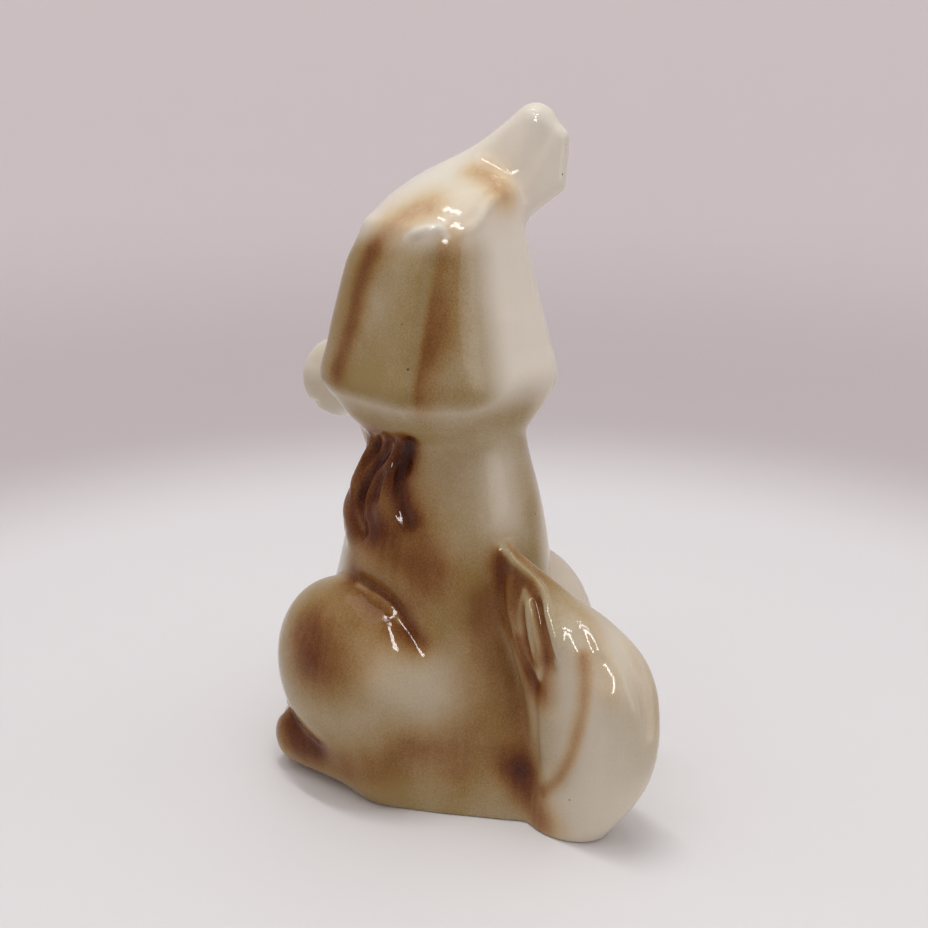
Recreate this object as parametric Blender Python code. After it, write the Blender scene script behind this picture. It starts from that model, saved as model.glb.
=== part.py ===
"""Glazed pottery puppy sitting upright, one hollow casting with a closed flat underside.

The puppy faces -Y, its left side is +X and up is +Z. Its form is written in shares of its
height, FORM_UNITS to the whole figure, as a blend of simple masses: each mass is a function
that says how far a point lies outside it, and carving adds furrows and ridges along lines.
A skin is then drawn where that distance is zero.
"""
import bmesh
import bpy
import numpy as np

# Overall size, in metres
HEIGHT = 0.160

# The form below is drawn 157 units high, so a unit is about a millimetre
FORM_UNITS = 157.0

# Size of the cells that the skin is drawn from, in units, and the facets that are kept
SKIN_CELL = 1.5
FACETS = 9000

# Underside, in metres: a blind vent hole in the flat foot, behind the middle
VENT_RADIUS = 0.0035
VENT_DEPTH = 0.005
VENT_BACK = 0.016

# Body, in units: height, centre in y, half width, half depth, squareness
TORSO = [
    (-8, -6.0, 26.6, 31.0, 2.1),
    (0, -6.0, 26.6, 31.0, 2.1),
    (12, -6.0, 26.4, 31.0, 2.1),
    (28, -5.0, 26.0, 30.5, 2.1),
    (45, -3.8, 24.8, 26.6, 2.0),
    (58, -2.9, 23.7, 24.2, 2.0),
    (70, -2.6, 21.0, 22.0, 2.0),
    (80, -2.6, 18.4, 19.4, 2.0),
    (90, -3.0, 17.2, 17.6, 2.0),
    (110, -3.0, 16.0, 17.0, 2.0),
]

# Head, the same way: it flares down to a rim at 97 and turns in to the neck below it
HEAD = [
    (80, -3.5, 16.0, 17.0, 2.0),
    (85, -3.6, 17.2, 18.2, 2.3),
    (90, -4.0, 20.0, 20.4, 3.0),
    (96, -4.2, 22.1, 22.2, 3.8),
    (106, -4.2, 20.8, 20.6, 3.8),
    (119, -4.2, 18.2, 17.9, 3.6),
    (131, -3.6, 15.8, 15.4, 3.4),
    (150, -3.0, 12.5, 12.5, 3.0),
]
EAR_THICKNESS = 1.3
EAR_REAR_EDGE = 7.6
EAR_LOWER_EDGE = 97

# Tail, the same way: an upright plume whose top leans onto the back
PLUME = [
    (-6, 34.8, 7.4, 9.8, 2.0),
    (0, 37.2, 8.2, 11.0, 2.0),
    (8, 40.0, 9.0, 13.6, 2.0),
    (18, 42.0, 9.7, 16.4, 2.0),
    (30, 42.2, 10.4, 17.3, 2.1),
    (38, 40.2, 10.6, 17.0, 2.4),
    (44, 36.9, 10.2, 15.7, 2.7),
    (50, 32.4, 8.0, 13.0, 2.9),
    (56, 25.8, 4.8, 8.6, 2.6),
    (62.5, 18.4, 2.0, 4.2, 2.0),
]

# Lines on the tail's left: the hollow's border, the leaf in it, the grooves and the folds
TAIL_LINES = {
    "border": [(5.5, 20.6, 63.3), (5.7, 25.2, 60.8), (5.3, 30.8, 57.9), (6.6, 34.4, 55.5), (8.7, 37.2, 52.4), (9.9, 40.2, 48.5), (10.5, 41, 44.1)],
    "leaf": [(8.4, 29.9, 55.8), (9.4, 31.5, 52.8), (10.1, 32.7, 49.2), (10.5, 34, 45.7), (10.6, 35.3, 42.4), (10.5, 36.3, 39.6)],
    "front_groove": [(9.1, 28.3, 54.1), (10, 29.3, 50.4), (10.3, 30.5, 45.5), (10.2, 32.4, 41), (10.2, 34.8, 36.1), (10, 35.8, 32.6)],
    "rear_groove": [(7.6, 31.3, 56.4), (8.7, 34.4, 53.7), (9.9, 37, 49.9), (10.4, 38.2, 46.8), (10.6, 39.3, 43.5), (10.6, 38.9, 39.5)],
    "fold": [(6.5, 23, 61.2), (8.7, 25.6, 55.5), (9.9, 27.6, 49.4), (9.9, 29.5, 42.8), (9.9, 32.5, 37.3), (9.9, 34.7, 33.3)],
    "foot_crease": [(9, 23.5, 52.3), (9.4, 25.7, 46.7), (8.6, 27.4, 41), (9.1, 30.3, 36.7), (9.5, 33.1, 33.3), (9, 33.7, 28.2), (8.6, 33.7, 22.1), (8.5, 34.1, 17.6), (8.7, 35.8, 11.7)],
    "lobe_groove": [(6.8, 47.2, 47.7), (8.9, 48.6, 43.1), (9.7, 48.7, 37.9), (9.9, 47.7, 30), (9.8, 45.1, 21.9), (9.5, 41.3, 15), (8.9, 37, 10.7)],
    "upper_groove": [(3.9, 42.5, 51.7), (5.2, 44.7, 50.3), (6.4, 48.9, 46.5), (7.1, 51.5, 42.8), (7.3, 53.5, 38.7)],
    "crest": [(4.3, 20.3, 63.9), (2.8, 26, 60.4), (1.8, 31.6, 57.3), (1.6, 37.2, 54.4), (2.5, 42.4, 51.8), (3.8, 46.5, 49.2), (5.2, 50.4, 45.5)],
    "far_groove": [(-4.6, 40.9, 50.2), (-1.7, 48.7, 47.5), (-1.2, 55.1, 41.2), (-0.5, 58.8, 34), (0.2, 59.7, 27.2)],
}

CREAM_GLAZE = (0.71, 0.66, 0.55, 1.0)
GLAZE_ROUGHNESS = 0.12


def stations(z, rows):
    """Smooth curves through the columns of rows, read at heights z."""
    table = np.float32(rows)
    heights = table[:, 0]
    z = np.clip(z, heights[0], heights[-1])
    i = np.clip(np.searchsorted(heights, z, side="right") - 1, 0, len(heights) - 2)
    span = heights[i + 1] - heights[i]
    t = (z - heights[i]) / span
    out = []
    for k in range(1, table.shape[1]):
        y = table[:, k]
        slope = np.gradient(y, heights)
        start = (2 * t ** 3 - 3 * t ** 2 + 1) * y[i] + (t ** 3 - 2 * t ** 2 + t) * span * slope[i]
        end = (3 * t ** 2 - 2 * t ** 3) * y[i + 1] + (t ** 3 - t ** 2) * span * slope[i + 1]
        out.append(start + end)
    return out


def column(p, rows):
    """An upright mass whose sections are rounded squares, as rows gives them."""
    centre, wide, deep, square = stations(p[..., 2], rows)
    x = np.maximum(np.abs(p[..., 0]) / wide, 1e-5)
    y = np.maximum(np.abs(p[..., 1] - centre) / deep, 1e-5)
    r = (x ** square + y ** square) ** (1 / square)
    return (r - 1) * np.minimum(wide, deep)


def length(v):
    return np.sqrt((v * v).sum(-1))


def ball(p, centre, radii, tip=0):
    """An ellipsoid, tipped back by so many degrees about the x direction."""
    q = p - np.float32(centre)
    c = np.float32(np.cos(np.radians(tip)))
    s = np.float32(np.sin(np.radians(tip)))
    q = np.stack([q[..., 0], c * q[..., 1] + s * q[..., 2], c * q[..., 2] - s * q[..., 1]], -1)
    r = np.float32(radii)
    near = length(q / r)
    return near * (near - 1) / np.maximum(length(q / (r * r)), 1e-6)


def rod(p, a, b, ra, rb):
    """A round rod that tapers from radius ra at a to rb at b."""
    a, b = np.float32(a), np.float32(b)
    ab = b - a
    t = np.clip(((p - a) @ ab) / (ab @ ab), 0, 1)
    return length(p - a - t[..., None] * ab) - (ra + (rb - ra) * t)


def slab(p, a, b, c, r):
    """A triangle from a to b to c, thickened and rounded by r."""
    a, b, c = np.float32(a), np.float32(b), np.float32(c)
    normal = np.cross(b - a, a - c)
    within = np.zeros(p.shape[:-1], np.float32)
    nearest = np.full(p.shape[:-1], 1e9, np.float32)
    for start, end in ((a, b), (b, c), (c, a)):
        side = end - start
        q = p - start
        within += np.sign(q @ np.cross(side, normal))
        t = np.clip(q @ side / (side @ side), 0, 1)
        nearest = np.minimum(nearest, ((t[..., None] * side - q) ** 2).sum(-1))
    flat = ((p - a) @ normal) ** 2 / (normal @ normal)
    return np.sqrt(np.where(within < 2, nearest, flat)) - r


def join(a, b, blend):
    """Both masses, with a fillet between them."""
    h = np.maximum(blend - np.abs(a - b), 0) / blend
    return np.minimum(a, b) - h ** 3 * blend / 6


def both(a, b, blend):
    """What is in both masses, with a rounded edge."""
    return -join(-a, -b, blend)


def cut(a, b, blend):
    """The first mass with the second scooped out of it."""
    return -join(-a, b, blend)


def ramp(x, a, b):
    """0 up to a and 1 from b on, smooth between."""
    t = np.clip((x - a) / (b - a), 0, 1)
    return t * t * (3 - 2 * t)


def curve(points, count=24):
    """A smooth line through points."""
    p = np.float32(points)
    p = np.concatenate([[2 * p[0] - p[1]], p, [2 * p[-1] - p[-2]]])
    spans = len(p) - 3
    out = []
    for i in range(spans):
        a, b, c, d = p[i:i + 4]
        for t in np.linspace(0, 1, max(2, count // spans), endpoint=False):
            quad = (2 * a - 5 * b + 4 * c - d) * t * t
            cubic = (3 * b - a - 3 * c + d) * t ** 3
            out.append(0.5 * (2 * b + (c - a) * t + quad + cubic))
    out.append(p[-2])
    return np.float32(out)


def along_line(q, points):
    """How far points lie from a smooth line, and how far along it their nearest spot is."""
    line = curve(points)
    steps = np.sqrt(((line[1:] - line[:-1]) ** 2).sum(-1))
    run = np.concatenate([[0], np.cumsum(steps)]) / steps.sum()
    best = np.full(len(q), 1e9, np.float32)
    along = np.zeros(len(q), np.float32)
    for i in range(len(line) - 1):
        ab = line[i + 1] - line[i]
        t = np.clip(((q - line[i]) @ ab) / (ab @ ab), 0, 1)
        d = length(q - line[i] - t[..., None] * ab)
        closer = d < best
        best = np.where(closer, d, best)
        along = np.where(closer, run[i] + (run[i + 1] - run[i]) * t, along)
    return best, along


def near_line(p, points, reach):
    """Which points lie within reach of a line's box."""
    line = np.float32(points)
    return ((p > line.min(0) - reach) & (p < line.max(0) + reach)).all(-1)


def furrow(p, points, width, depth, fade=0.15):
    """What a line carves: a furrow, or a ridge if depth is below 0, fading at its ends."""
    near = near_line(p, points, 3 * width + 1)
    best, along = along_line(p[near], points)
    strength = ramp(along, 0, fade) * ramp(1 - along, 0, fade)
    out = np.zeros(p.shape[:-1], np.float32)
    out[near] = depth * strength * np.exp(-(best / width) ** 2)
    return out


def lock(p, points, radii):
    """A smooth round lock of hair through points, as thick at each as radii say."""
    near = near_line(p, points, max(radii) + 8)
    best, along = along_line(p[near], points)
    ends = np.float32(points)
    run = ends[-1] - ends[0]
    at = (ends - ends[0]) @ run / (run @ run)
    thick = curve(np.stack([at, radii], 1))
    share = np.clip((p[near] - ends[0]) @ run / (run @ run), 0, 1)
    out = np.full(p.shape[:-1], 8.0, np.float32)
    out[near] = best - np.interp(share, thick[:, 0], thick[:, 1])
    return out


def two_sided(p):
    """Points folded onto the puppy's left side, for what both sides have."""
    return np.concatenate([np.abs(p[..., :1]), p[..., 1:]], -1)


def body(p, q):
    d = both(column(p, TORSO), p[..., 2] - 112, 2)
    d = join(d, ball(p, (0, 13, 6), (15, 23, 26)), 11)
    # The haunches stand off the flanks in front and run into the back, the right one further
    haunch = ball(q, (22.4, -11, 28.3), (14.4, 23.4, 22.9), 8)
    d = join(d, haunch, 2.5 + 10 * ramp(p[..., 1], -8, 14))
    d = join(d, ball(p, (-20.5, 7, 28), (13, 17, 24)), 6)
    foot = rod(q, (23, 0, 8), (25.5, -25.5, 7.8), 8, 8.3)
    d = join(d, foot, 2 + 8 * ramp(p[..., 1], -16, 0))
    leg = rod(q, (8.5, -14, 60), (10.5, -35, 8), 8.5, 7.5)
    return join(d, join(leg, ball(q, (10.5, -40, 6), (8.2, 9.5, 7.5)), 4), 4)


def neck_locks(q):
    """Locks of hair below the head, one behind the other."""
    front = [(13.4, -9.0, 89), (14.4, -8.8, 78), (15.0, -11.0, 65), (16.5, -9.5, 51)]
    rear = [(14.5, -1.5, 88), (16.0, -2.0, 78), (16.8, -1.8, 68), (18.4, 2.0, 58)]
    return join(lock(q, front, [2.6, 5.8, 8.1, 3.6]), lock(q, rear, [2.4, 5.0, 5.2, 2.2]), 2)


def tail(p):
    """An upright plume with a hollow and a leaf-shaped lock on its left."""
    lean = 4.4 * ramp(p[..., 2:], 40, 61) + 1.5 * (1 - ramp(p[..., 2:], 0, 14))
    d = column(np.concatenate([p[..., :1] - lean, p[..., 1:]], -1), PLUME)
    d = both(d, p[..., 2] - 63, 1)
    bed = [(6.0, 21.0, 62.0), (9.0, 25.5, 55.5), (10.5, 29.5, 49.5), (11.5, 34.0, 43.0), (12.0, 37.5, 36.0), (12.0, 39.0, 29.0)]
    return d + furrow(p, bed, 4.4, 1.7)


def head(p):
    sides = column(p, HEAD)
    crown = np.concatenate([p[..., :2], 112 + np.maximum(p[..., 2:] - 112, 0)], -1)
    d = both(sides, ball(crown, (-12, -4, 112.3), (36, 30, 32)), 4)
    d = both(d, 84 - p[..., 2], 3)
    # The left ear hangs flat on the side of the head, thinning out towards the crown
    thin = ramp(p[..., 2], EAR_LOWER_EDGE - 7, EAR_LOWER_EDGE + 1) * (1 - ramp(p[..., 2], 123, 132))
    ear = sides - EAR_THICKNESS * thin
    ear = both(ear, p[..., 1] - EAR_REAR_EDGE, 2)
    ear = both(ear, 7 - p[..., 0], 6)
    ear = both(ear, p[..., 2] - 134, 4)
    # The cheeks are set back from it, and the eyes are under a soft brow
    d = cut(d, ball(p, (19.0, -29, 106), (5.5, 8, 28)), 3)
    d = cut(d, ball(p, (-19.5, -30, 106), (5.5, 8, 28)), 5)
    d = cut(d, ball(two_sided(p), (8.5, -29, 111), (6.5, 7.5, 6.5)), 5)
    d = join(d, ear, 2)
    bridge = rod(p, (0, -14, 99), (0, -39.4, 91), 11, 10)
    throat = rod(p, (0, -26.5, 88), (0, -21.2, 76), 6.5, 6)
    snout = join(join(bridge, throat, 6), ball(p, (0, -47.9, 93), (3.7, 2.4, 2.6)), 1)
    return join(d, snout, 4)


def raised_ear(p):
    """The right ear: a sail that rises to the back, its rear edge folded down."""
    sail = slab(p, (-9.5, -13, 134.5), (-18.3, 6.8, 152.6), (-12.5, 3, 135.5), 4.8)
    fold = slab(p, (-20.4, 11.2, 149.6), (-19.4, 11.2, 140.4), (-13.0, 7.0, 135.0), 2.9)
    return join(sail, fold, 4)


def carving(p, q):
    """Furrows and ridges, those of the tail first."""
    d = furrow(p, TAIL_LINES["border"], 1.5, -0.9)
    d = d + furrow(p, TAIL_LINES["leaf"], 1.5, -1.0, 0.2)
    d = d + furrow(p, TAIL_LINES["front_groove"], 1.4, 1.4)
    d = d + furrow(p, TAIL_LINES["rear_groove"], 1.4, 1.5)
    d = d + furrow(p, TAIL_LINES["fold"], 1.6, -0.9, 0.2)
    d = d + furrow(p, TAIL_LINES["foot_crease"], 1.4, 0.9, 0.2)
    d = d + furrow(p, TAIL_LINES["lobe_groove"], 2.4, 1.8)
    d = d + furrow(p, TAIL_LINES["upper_groove"], 2.6, 0.9, 0.3)
    d = d + furrow(p, TAIL_LINES["crest"], 2.2, -0.7, 0.2)
    d = d + furrow(p, TAIL_LINES["far_groove"], 2.8, 1.2, 0.25)
    d = d + furrow(p, [(-10, 41, 50), (-10.5, 48, 42), (-10, 51, 32), (-9, 50, 20)], 2.6, 1.3, 0.2)
    # Neck locks
    d = d + furrow(q, [(17.4, 5.0, 90), (17.8, 2.6, 82.0), (19.5, 1.9, 77.6), (20.2, 2.2, 73.4), (20.3, 4.6, 69.3), (19.9, 7.6, 65.6)], 1.8, 1.5)
    d = d + furrow(q, [(15.5, -10.0, 87), (18.5, -13.5, 76.8), (19.3, -16.0, 68), (21.0, -12.5, 60.9)], 1.7, 1.4)
    d = d + furrow(q, [(17.3, -6.0, 87), (20.2, -7.6, 77.1), (22.0, -8.6, 68), (21.5, -6.5, 61)], 1.6, 1.3)
    d = d + furrow(q, [(17.5, -2.0, 88), (20.5, -3.2, 78.6), (22.0, -4.5, 70.5)], 1.5, 1.4)
    # Behind the hanging ear
    d = d + furrow(p, [(13.5, 9.0, 131.5), (15.6, 9.2, 124.6), (17.9, 9.6, 115.0), (20.5, 10.0, 104.2), (21.6, 10.0, 98.5)], 3.0, 1.2, 0.2)
    # Over the haunches
    over = [(22.9, -11.5, 52.6), (24.2, -1.5, 52.2), (23.8, 3.6, 50.0), (23.4, 7.2, 46.6), (22.8, 10.2, 43.0), (21.2, 13.5, 38.6)]
    d = d + furrow(q, over, 2.0, 1.6, 0.25)
    # Toes
    for x in (7.6, 13.2):
        d = d + furrow(q, [(x, -44.5, 12.5), (x, -49.0, 8.0), (x, -49.8, 3.0)], 1.3, 1.4, 0.3)
    for x, y in ((22.6, -33.5), (29.6, -32.5)):
        d = d + furrow(q, [(x, y + 4, 15.0), (x, y - 0.2, 11.5), (x, y - 1.4, 4.0)], 1.3, 1.4, 0.3)
    return d


def form(p):
    """How far points lie outside the figure, in units."""
    q = two_sided(p)
    d = join(body(p, q), neck_locks(q), 2)
    d = join(d, tail(p), 3)
    ear_blend = 11 - 7.5 * ramp(p[..., 1], -1, 7)
    d = join(d, join(head(p), raised_ear(p), ear_blend), 3)
    return d + carving(p, q)


def fill_pinches(values):
    """Make solid the grid points beside which solid parts would meet along one edge alone."""
    for _ in range(8):
        solid = values < 0
        pinched = np.zeros(values.shape, bool)
        for u, v in ((0, 1), (1, 2), (2, 0)):
            corners = []
            for i, j in ((0, 0), (0, 1), (1, 0), (1, 1)):
                window = [slice(None)] * 3
                window[u] = slice(i, values.shape[u] - 1 + i)
                window[v] = slice(j, values.shape[v] - 1 + j)
                corners.append(tuple(window))
            a, b, c, d = [solid[w] for w in corners]
            crossed = (a == d) & (b == c) & (a != b)
            for w in corners:
                pinched[w] |= crossed
        pinched &= ~solid
        if not pinched.any():
            break
        values[pinched] = -0.01


def skin(low, high, cell):
    """Points and four-sided faces where the form's distance is zero, one point to a cell."""
    axes = [np.arange(low[k], high[k] + cell, cell, dtype=np.float32) for k in range(3)]
    shape = tuple(len(a) for a in axes)
    values = np.empty(shape, np.float32)
    across, up = np.meshgrid(axes[1], axes[2], indexing="ij")
    for first in range(0, shape[0], 16):
        xs = axes[0][first:first + 16]
        grid = np.empty((len(xs), shape[1], shape[2], 3), np.float32)
        grid[..., 0] = xs[:, None, None]
        grid[..., 1] = across
        grid[..., 2] = up
        values[first:first + 16] = form(grid.reshape(-1, 3)).reshape(grid.shape[:-1])
    fill_pinches(values)
    total = np.zeros(tuple(n - 1 for n in shape) + (3,), np.float32)
    crossings = np.zeros(total.shape[:-1], np.int32)

    def corner_values(c):
        window = tuple(slice(c[k], shape[k] - 1 + c[k]) for k in range(3))
        return values[window]

    for corner in np.ndindex(2, 2, 2):
        for axis in range(3):
            if corner[axis]:
                continue
            other = tuple(1 if k == axis else corner[k] for k in range(3))
            a, b = corner_values(corner), corner_values(other)
            crossed = (a < 0) != (b < 0)
            t = np.where(crossed, a / np.where(crossed, a - b, 1), 0)
            for k in range(3):
                total[..., k] += np.where(crossed, t if k == axis else corner[k], 0)
            crossings += crossed
    cells = np.argwhere(crossings > 0)
    number = np.full(crossings.shape, -1, np.int64)
    number[tuple(cells.T)] = np.arange(len(cells))
    mean = total[tuple(cells.T)] / crossings[tuple(cells.T)][:, None]
    points = (np.float32(low) + cell * (cells + mean)).astype(np.float32)
    inside = values < 0
    faces = []
    for axis in range(3):
        u, v = [(1, 2), (2, 0), (0, 1)][axis]
        near = [slice(1, -1)] * 3
        far = [slice(1, -1)] * 3
        near[axis] = slice(0, -1)
        far[axis] = slice(1, None)
        a, b = inside[tuple(near)], inside[tuple(far)]
        for solid_first in (True, False):
            base = np.argwhere((a != b) & (a == solid_first))
            for k in range(3):
                base[:, k] += k != axis
            ring = []
            for du, dv in ((0, 0), (-1, 0), (-1, -1), (0, -1)):
                c = base.copy()
                c[:, u] += du
                c[:, v] += dv
                ring.append(number[tuple(c.T)])
            ring = np.stack(ring, 1)
            faces.append(ring if solid_first else ring[:, ::-1])
    for _ in range(3):
        points = points - settle(points, cell)
    return points, np.concatenate(faces)


def settle(points, cell):
    """How far points must move back along the form's slope to lie on its surface."""
    slope = np.empty_like(points)
    for k in range(3):
        step = np.zeros(3, np.float32)
        step[k] = 0.05
        slope[:, k] = (form(points + step) - form(points - step)) / 0.1
    steepness = np.maximum((slope * slope).sum(-1), 1e-3)
    move = (form(points) / steepness)[:, None] * slope
    return move * np.minimum(1, 0.4 * cell / np.maximum(length(move), 1e-6))[:, None]


def cut_flat(mesh, z):
    """Take away what is below z and close the foot."""
    bm = bmesh.new()
    bm.from_mesh(mesh)
    everything = bm.verts[:] + bm.edges[:] + bm.faces[:]
    bmesh.ops.bisect_plane(bm, geom=everything, dist=0.02, plane_co=(0, 0, z), plane_no=(0, 0, 1), clear_inner=True)
    rim = [e for e in bm.edges if e.is_boundary]
    bmesh.ops.holes_fill(bm, edges=rim, sides=0)
    bmesh.ops.triangulate(bm, faces=bm.faces[:])
    bm.to_mesh(mesh)
    bm.free()


def evaluated(obj):
    """A mesh of obj with its modifiers carried out."""
    graph = bpy.context.evaluated_depsgraph_get()
    return bpy.data.meshes.new_from_object(obj.evaluated_get(graph))


def facet(mesh, facets):
    """The same form in fewer facets, its foot still flat."""
    obj = bpy.data.objects.new("fine_form", mesh)
    bpy.context.scene.collection.objects.link(obj)
    reduce = obj.modifiers.new("fewer_facets", "DECIMATE")
    reduce.ratio = facets / len(mesh.polygons)
    reduce.use_collapse_triangulate = True
    out = evaluated(obj)
    bpy.data.objects.remove(obj)
    for vert in out.vertices:
        if abs(vert.co.z) < 0.12:
            vert.co.z = 0
    return out


def to_real_size(mesh):
    """Scale to HEIGHT and put the middle of the foot's box at the origin."""
    co = np.array([v.co for v in mesh.vertices])
    low, high = co.min(0), co.max(0)
    middle = (low + high) / 2
    middle[2] = low[2]
    co = (co - middle) * (HEIGHT / (high[2] - low[2]))
    mesh.vertices.foreach_set("co", co.ravel())
    mesh.update()


def glaze(name, color, roughness):
    material = bpy.data.materials.new(name)
    material.use_nodes = True
    shader = material.node_tree.nodes["Principled BSDF"]
    shader.inputs["Base Color"].default_value = color
    shader.inputs["Roughness"].default_value = roughness
    shader.inputs["Metallic"].default_value = 0.0
    return material


def vent_cutter():
    bm = bmesh.new()
    bmesh.ops.create_cone(bm, cap_ends=True, segments=24, radius1=VENT_RADIUS, radius2=VENT_RADIUS, depth=2 * VENT_DEPTH)
    mesh = bpy.data.meshes.new("vent_cutter")
    bm.to_mesh(mesh)
    bm.free()
    cutter = bpy.data.objects.new("vent_cutter", mesh)
    cutter.location = (0, VENT_BACK, 0)
    cutter.hide_render = True
    cutter.display_type = "WIRE"
    bpy.context.scene.collection.objects.link(cutter)
    return cutter


def main():
    for obj in list(bpy.data.objects):
        bpy.data.objects.remove(obj)
    points, faces = skin((-40, -56, -5), (40, 66, 164), SKIN_CELL)
    fine = bpy.data.meshes.new("fine_form")
    fine.from_pydata(points.tolist(), [], faces.tolist())
    cut_flat(fine, 0)
    mesh = facet(fine, FACETS)
    mesh.name = "puppy"
    to_real_size(mesh)
    mesh.materials.append(glaze("cream_glaze", CREAM_GLAZE, GLAZE_ROUGHNESS))
    mesh.shade_smooth()
    puppy = bpy.data.objects.new("puppy", mesh)
    bpy.context.scene.collection.objects.link(puppy)
    vent = puppy.modifiers.new("vent", "BOOLEAN")
    vent.operation = "DIFFERENCE"
    vent.solver = "EXACT"
    vent.object = vent_cutter()


main()
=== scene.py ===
"""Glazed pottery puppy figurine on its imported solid.

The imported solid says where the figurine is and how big. The form is drawn again here from the
same masses, on a finer skin with strands, lids, nostrils and a mouth, then airbrushed and glazed.
It faces -Y, its left side is +X and up is +Z.
"""

import bmesh
import bpy
import numpy as np
from bpy.props import FloatProperty, FloatVectorProperty, PointerProperty
from mathutils import Matrix, Vector


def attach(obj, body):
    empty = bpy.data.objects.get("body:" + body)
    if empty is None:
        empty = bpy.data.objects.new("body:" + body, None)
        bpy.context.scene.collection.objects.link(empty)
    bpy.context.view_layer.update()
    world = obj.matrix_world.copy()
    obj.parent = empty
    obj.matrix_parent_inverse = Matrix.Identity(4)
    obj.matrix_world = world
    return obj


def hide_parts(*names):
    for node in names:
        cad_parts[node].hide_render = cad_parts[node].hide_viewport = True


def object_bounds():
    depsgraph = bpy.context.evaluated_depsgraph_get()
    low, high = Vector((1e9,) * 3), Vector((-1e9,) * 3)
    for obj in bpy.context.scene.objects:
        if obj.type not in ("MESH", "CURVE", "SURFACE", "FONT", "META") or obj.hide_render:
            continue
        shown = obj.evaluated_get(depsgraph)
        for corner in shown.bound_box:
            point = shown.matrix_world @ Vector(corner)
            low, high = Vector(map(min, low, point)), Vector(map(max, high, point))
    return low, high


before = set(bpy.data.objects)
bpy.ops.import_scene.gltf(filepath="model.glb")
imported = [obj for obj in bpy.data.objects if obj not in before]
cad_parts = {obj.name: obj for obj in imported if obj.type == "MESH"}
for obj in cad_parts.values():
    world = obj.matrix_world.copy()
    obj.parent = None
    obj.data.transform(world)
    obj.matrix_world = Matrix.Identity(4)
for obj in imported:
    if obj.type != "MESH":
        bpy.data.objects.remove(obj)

bl_info = {
    "name": "Pottery Puppy Figurine",
    "version": (1, 0, 0),
    "blender": (4, 5, 0),
    "location": "3D View > Sidebar > Puppy",
    "description": "Casts, airbrushes and glazes a sitting pottery puppy, and sets its stage",
    "category": "Object",
}

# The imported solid's box, in metres, before anything is added
CAD_LOW, CAD_HIGH = [tuple(corner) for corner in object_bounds()]

# The form below is drawn about this many units high, so a unit is about a millimetre
FORM_HEIGHT = 157.0
FORM_LOW = (-40, -53, -3)
FORM_HIGH = (40, 62, 160)

# Vent hole in the foot and the eyes, in units
VENT_RADIUS = 3.43
VENT_DEPTH = 4.9
VENT_BACK = 19.8
EYE = (8.2, -21.2, 111.6)
EYE_RADII = (3.3, 2.7, 4.1)

# Body, in units: height, centre in y, half width, half depth, squareness
TORSO = [
    (-8, -6.0, 26.6, 31.0, 2.1),
    (0, -6.0, 26.6, 31.0, 2.1),
    (12, -6.0, 26.4, 31.0, 2.1),
    (28, -5.0, 26.0, 30.5, 2.1),
    (45, -3.8, 24.8, 26.6, 2.0),
    (58, -2.9, 23.7, 24.2, 2.0),
    (70, -2.6, 21.0, 22.0, 2.0),
    (80, -2.6, 18.4, 19.4, 2.0),
    (90, -3.0, 17.2, 17.6, 2.0),
    (110, -3.0, 16.0, 17.0, 2.0),
]

# Head, the same way: it flares down to a rim at 97 and turns in to the neck below it
HEAD = [
    (80, -3.5, 16.0, 17.0, 2.0),
    (85, -3.6, 17.2, 18.2, 2.3),
    (90, -4.0, 20.0, 20.4, 3.0),
    (96, -4.2, 22.1, 22.2, 3.8),
    (106, -4.2, 20.8, 20.6, 3.8),
    (119, -4.2, 18.2, 17.9, 3.6),
    (131, -3.6, 15.8, 15.4, 3.4),
    (150, -3.0, 12.5, 12.5, 3.0),
]
EAR_THICKNESS = 1.3
EAR_REAR_EDGE = 7.6
EAR_LOWER_EDGE = 97

# Tail, the same way: an upright plume whose top leans onto the back
PLUME = [
    (-6, 34.8, 7.4, 9.8, 2.0),
    (0, 37.2, 8.2, 11.0, 2.0),
    (8, 40.0, 9.0, 13.6, 2.0),
    (18, 42.0, 9.7, 16.4, 2.0),
    (30, 42.2, 10.4, 17.3, 2.1),
    (38, 40.2, 10.6, 17.0, 2.4),
    (44, 36.9, 10.2, 15.7, 2.7),
    (50, 32.4, 8.0, 13.0, 2.9),
    (56, 25.8, 4.8, 8.6, 2.6),
    (62.5, 18.4, 2.0, 4.2, 2.0),
]

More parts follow.
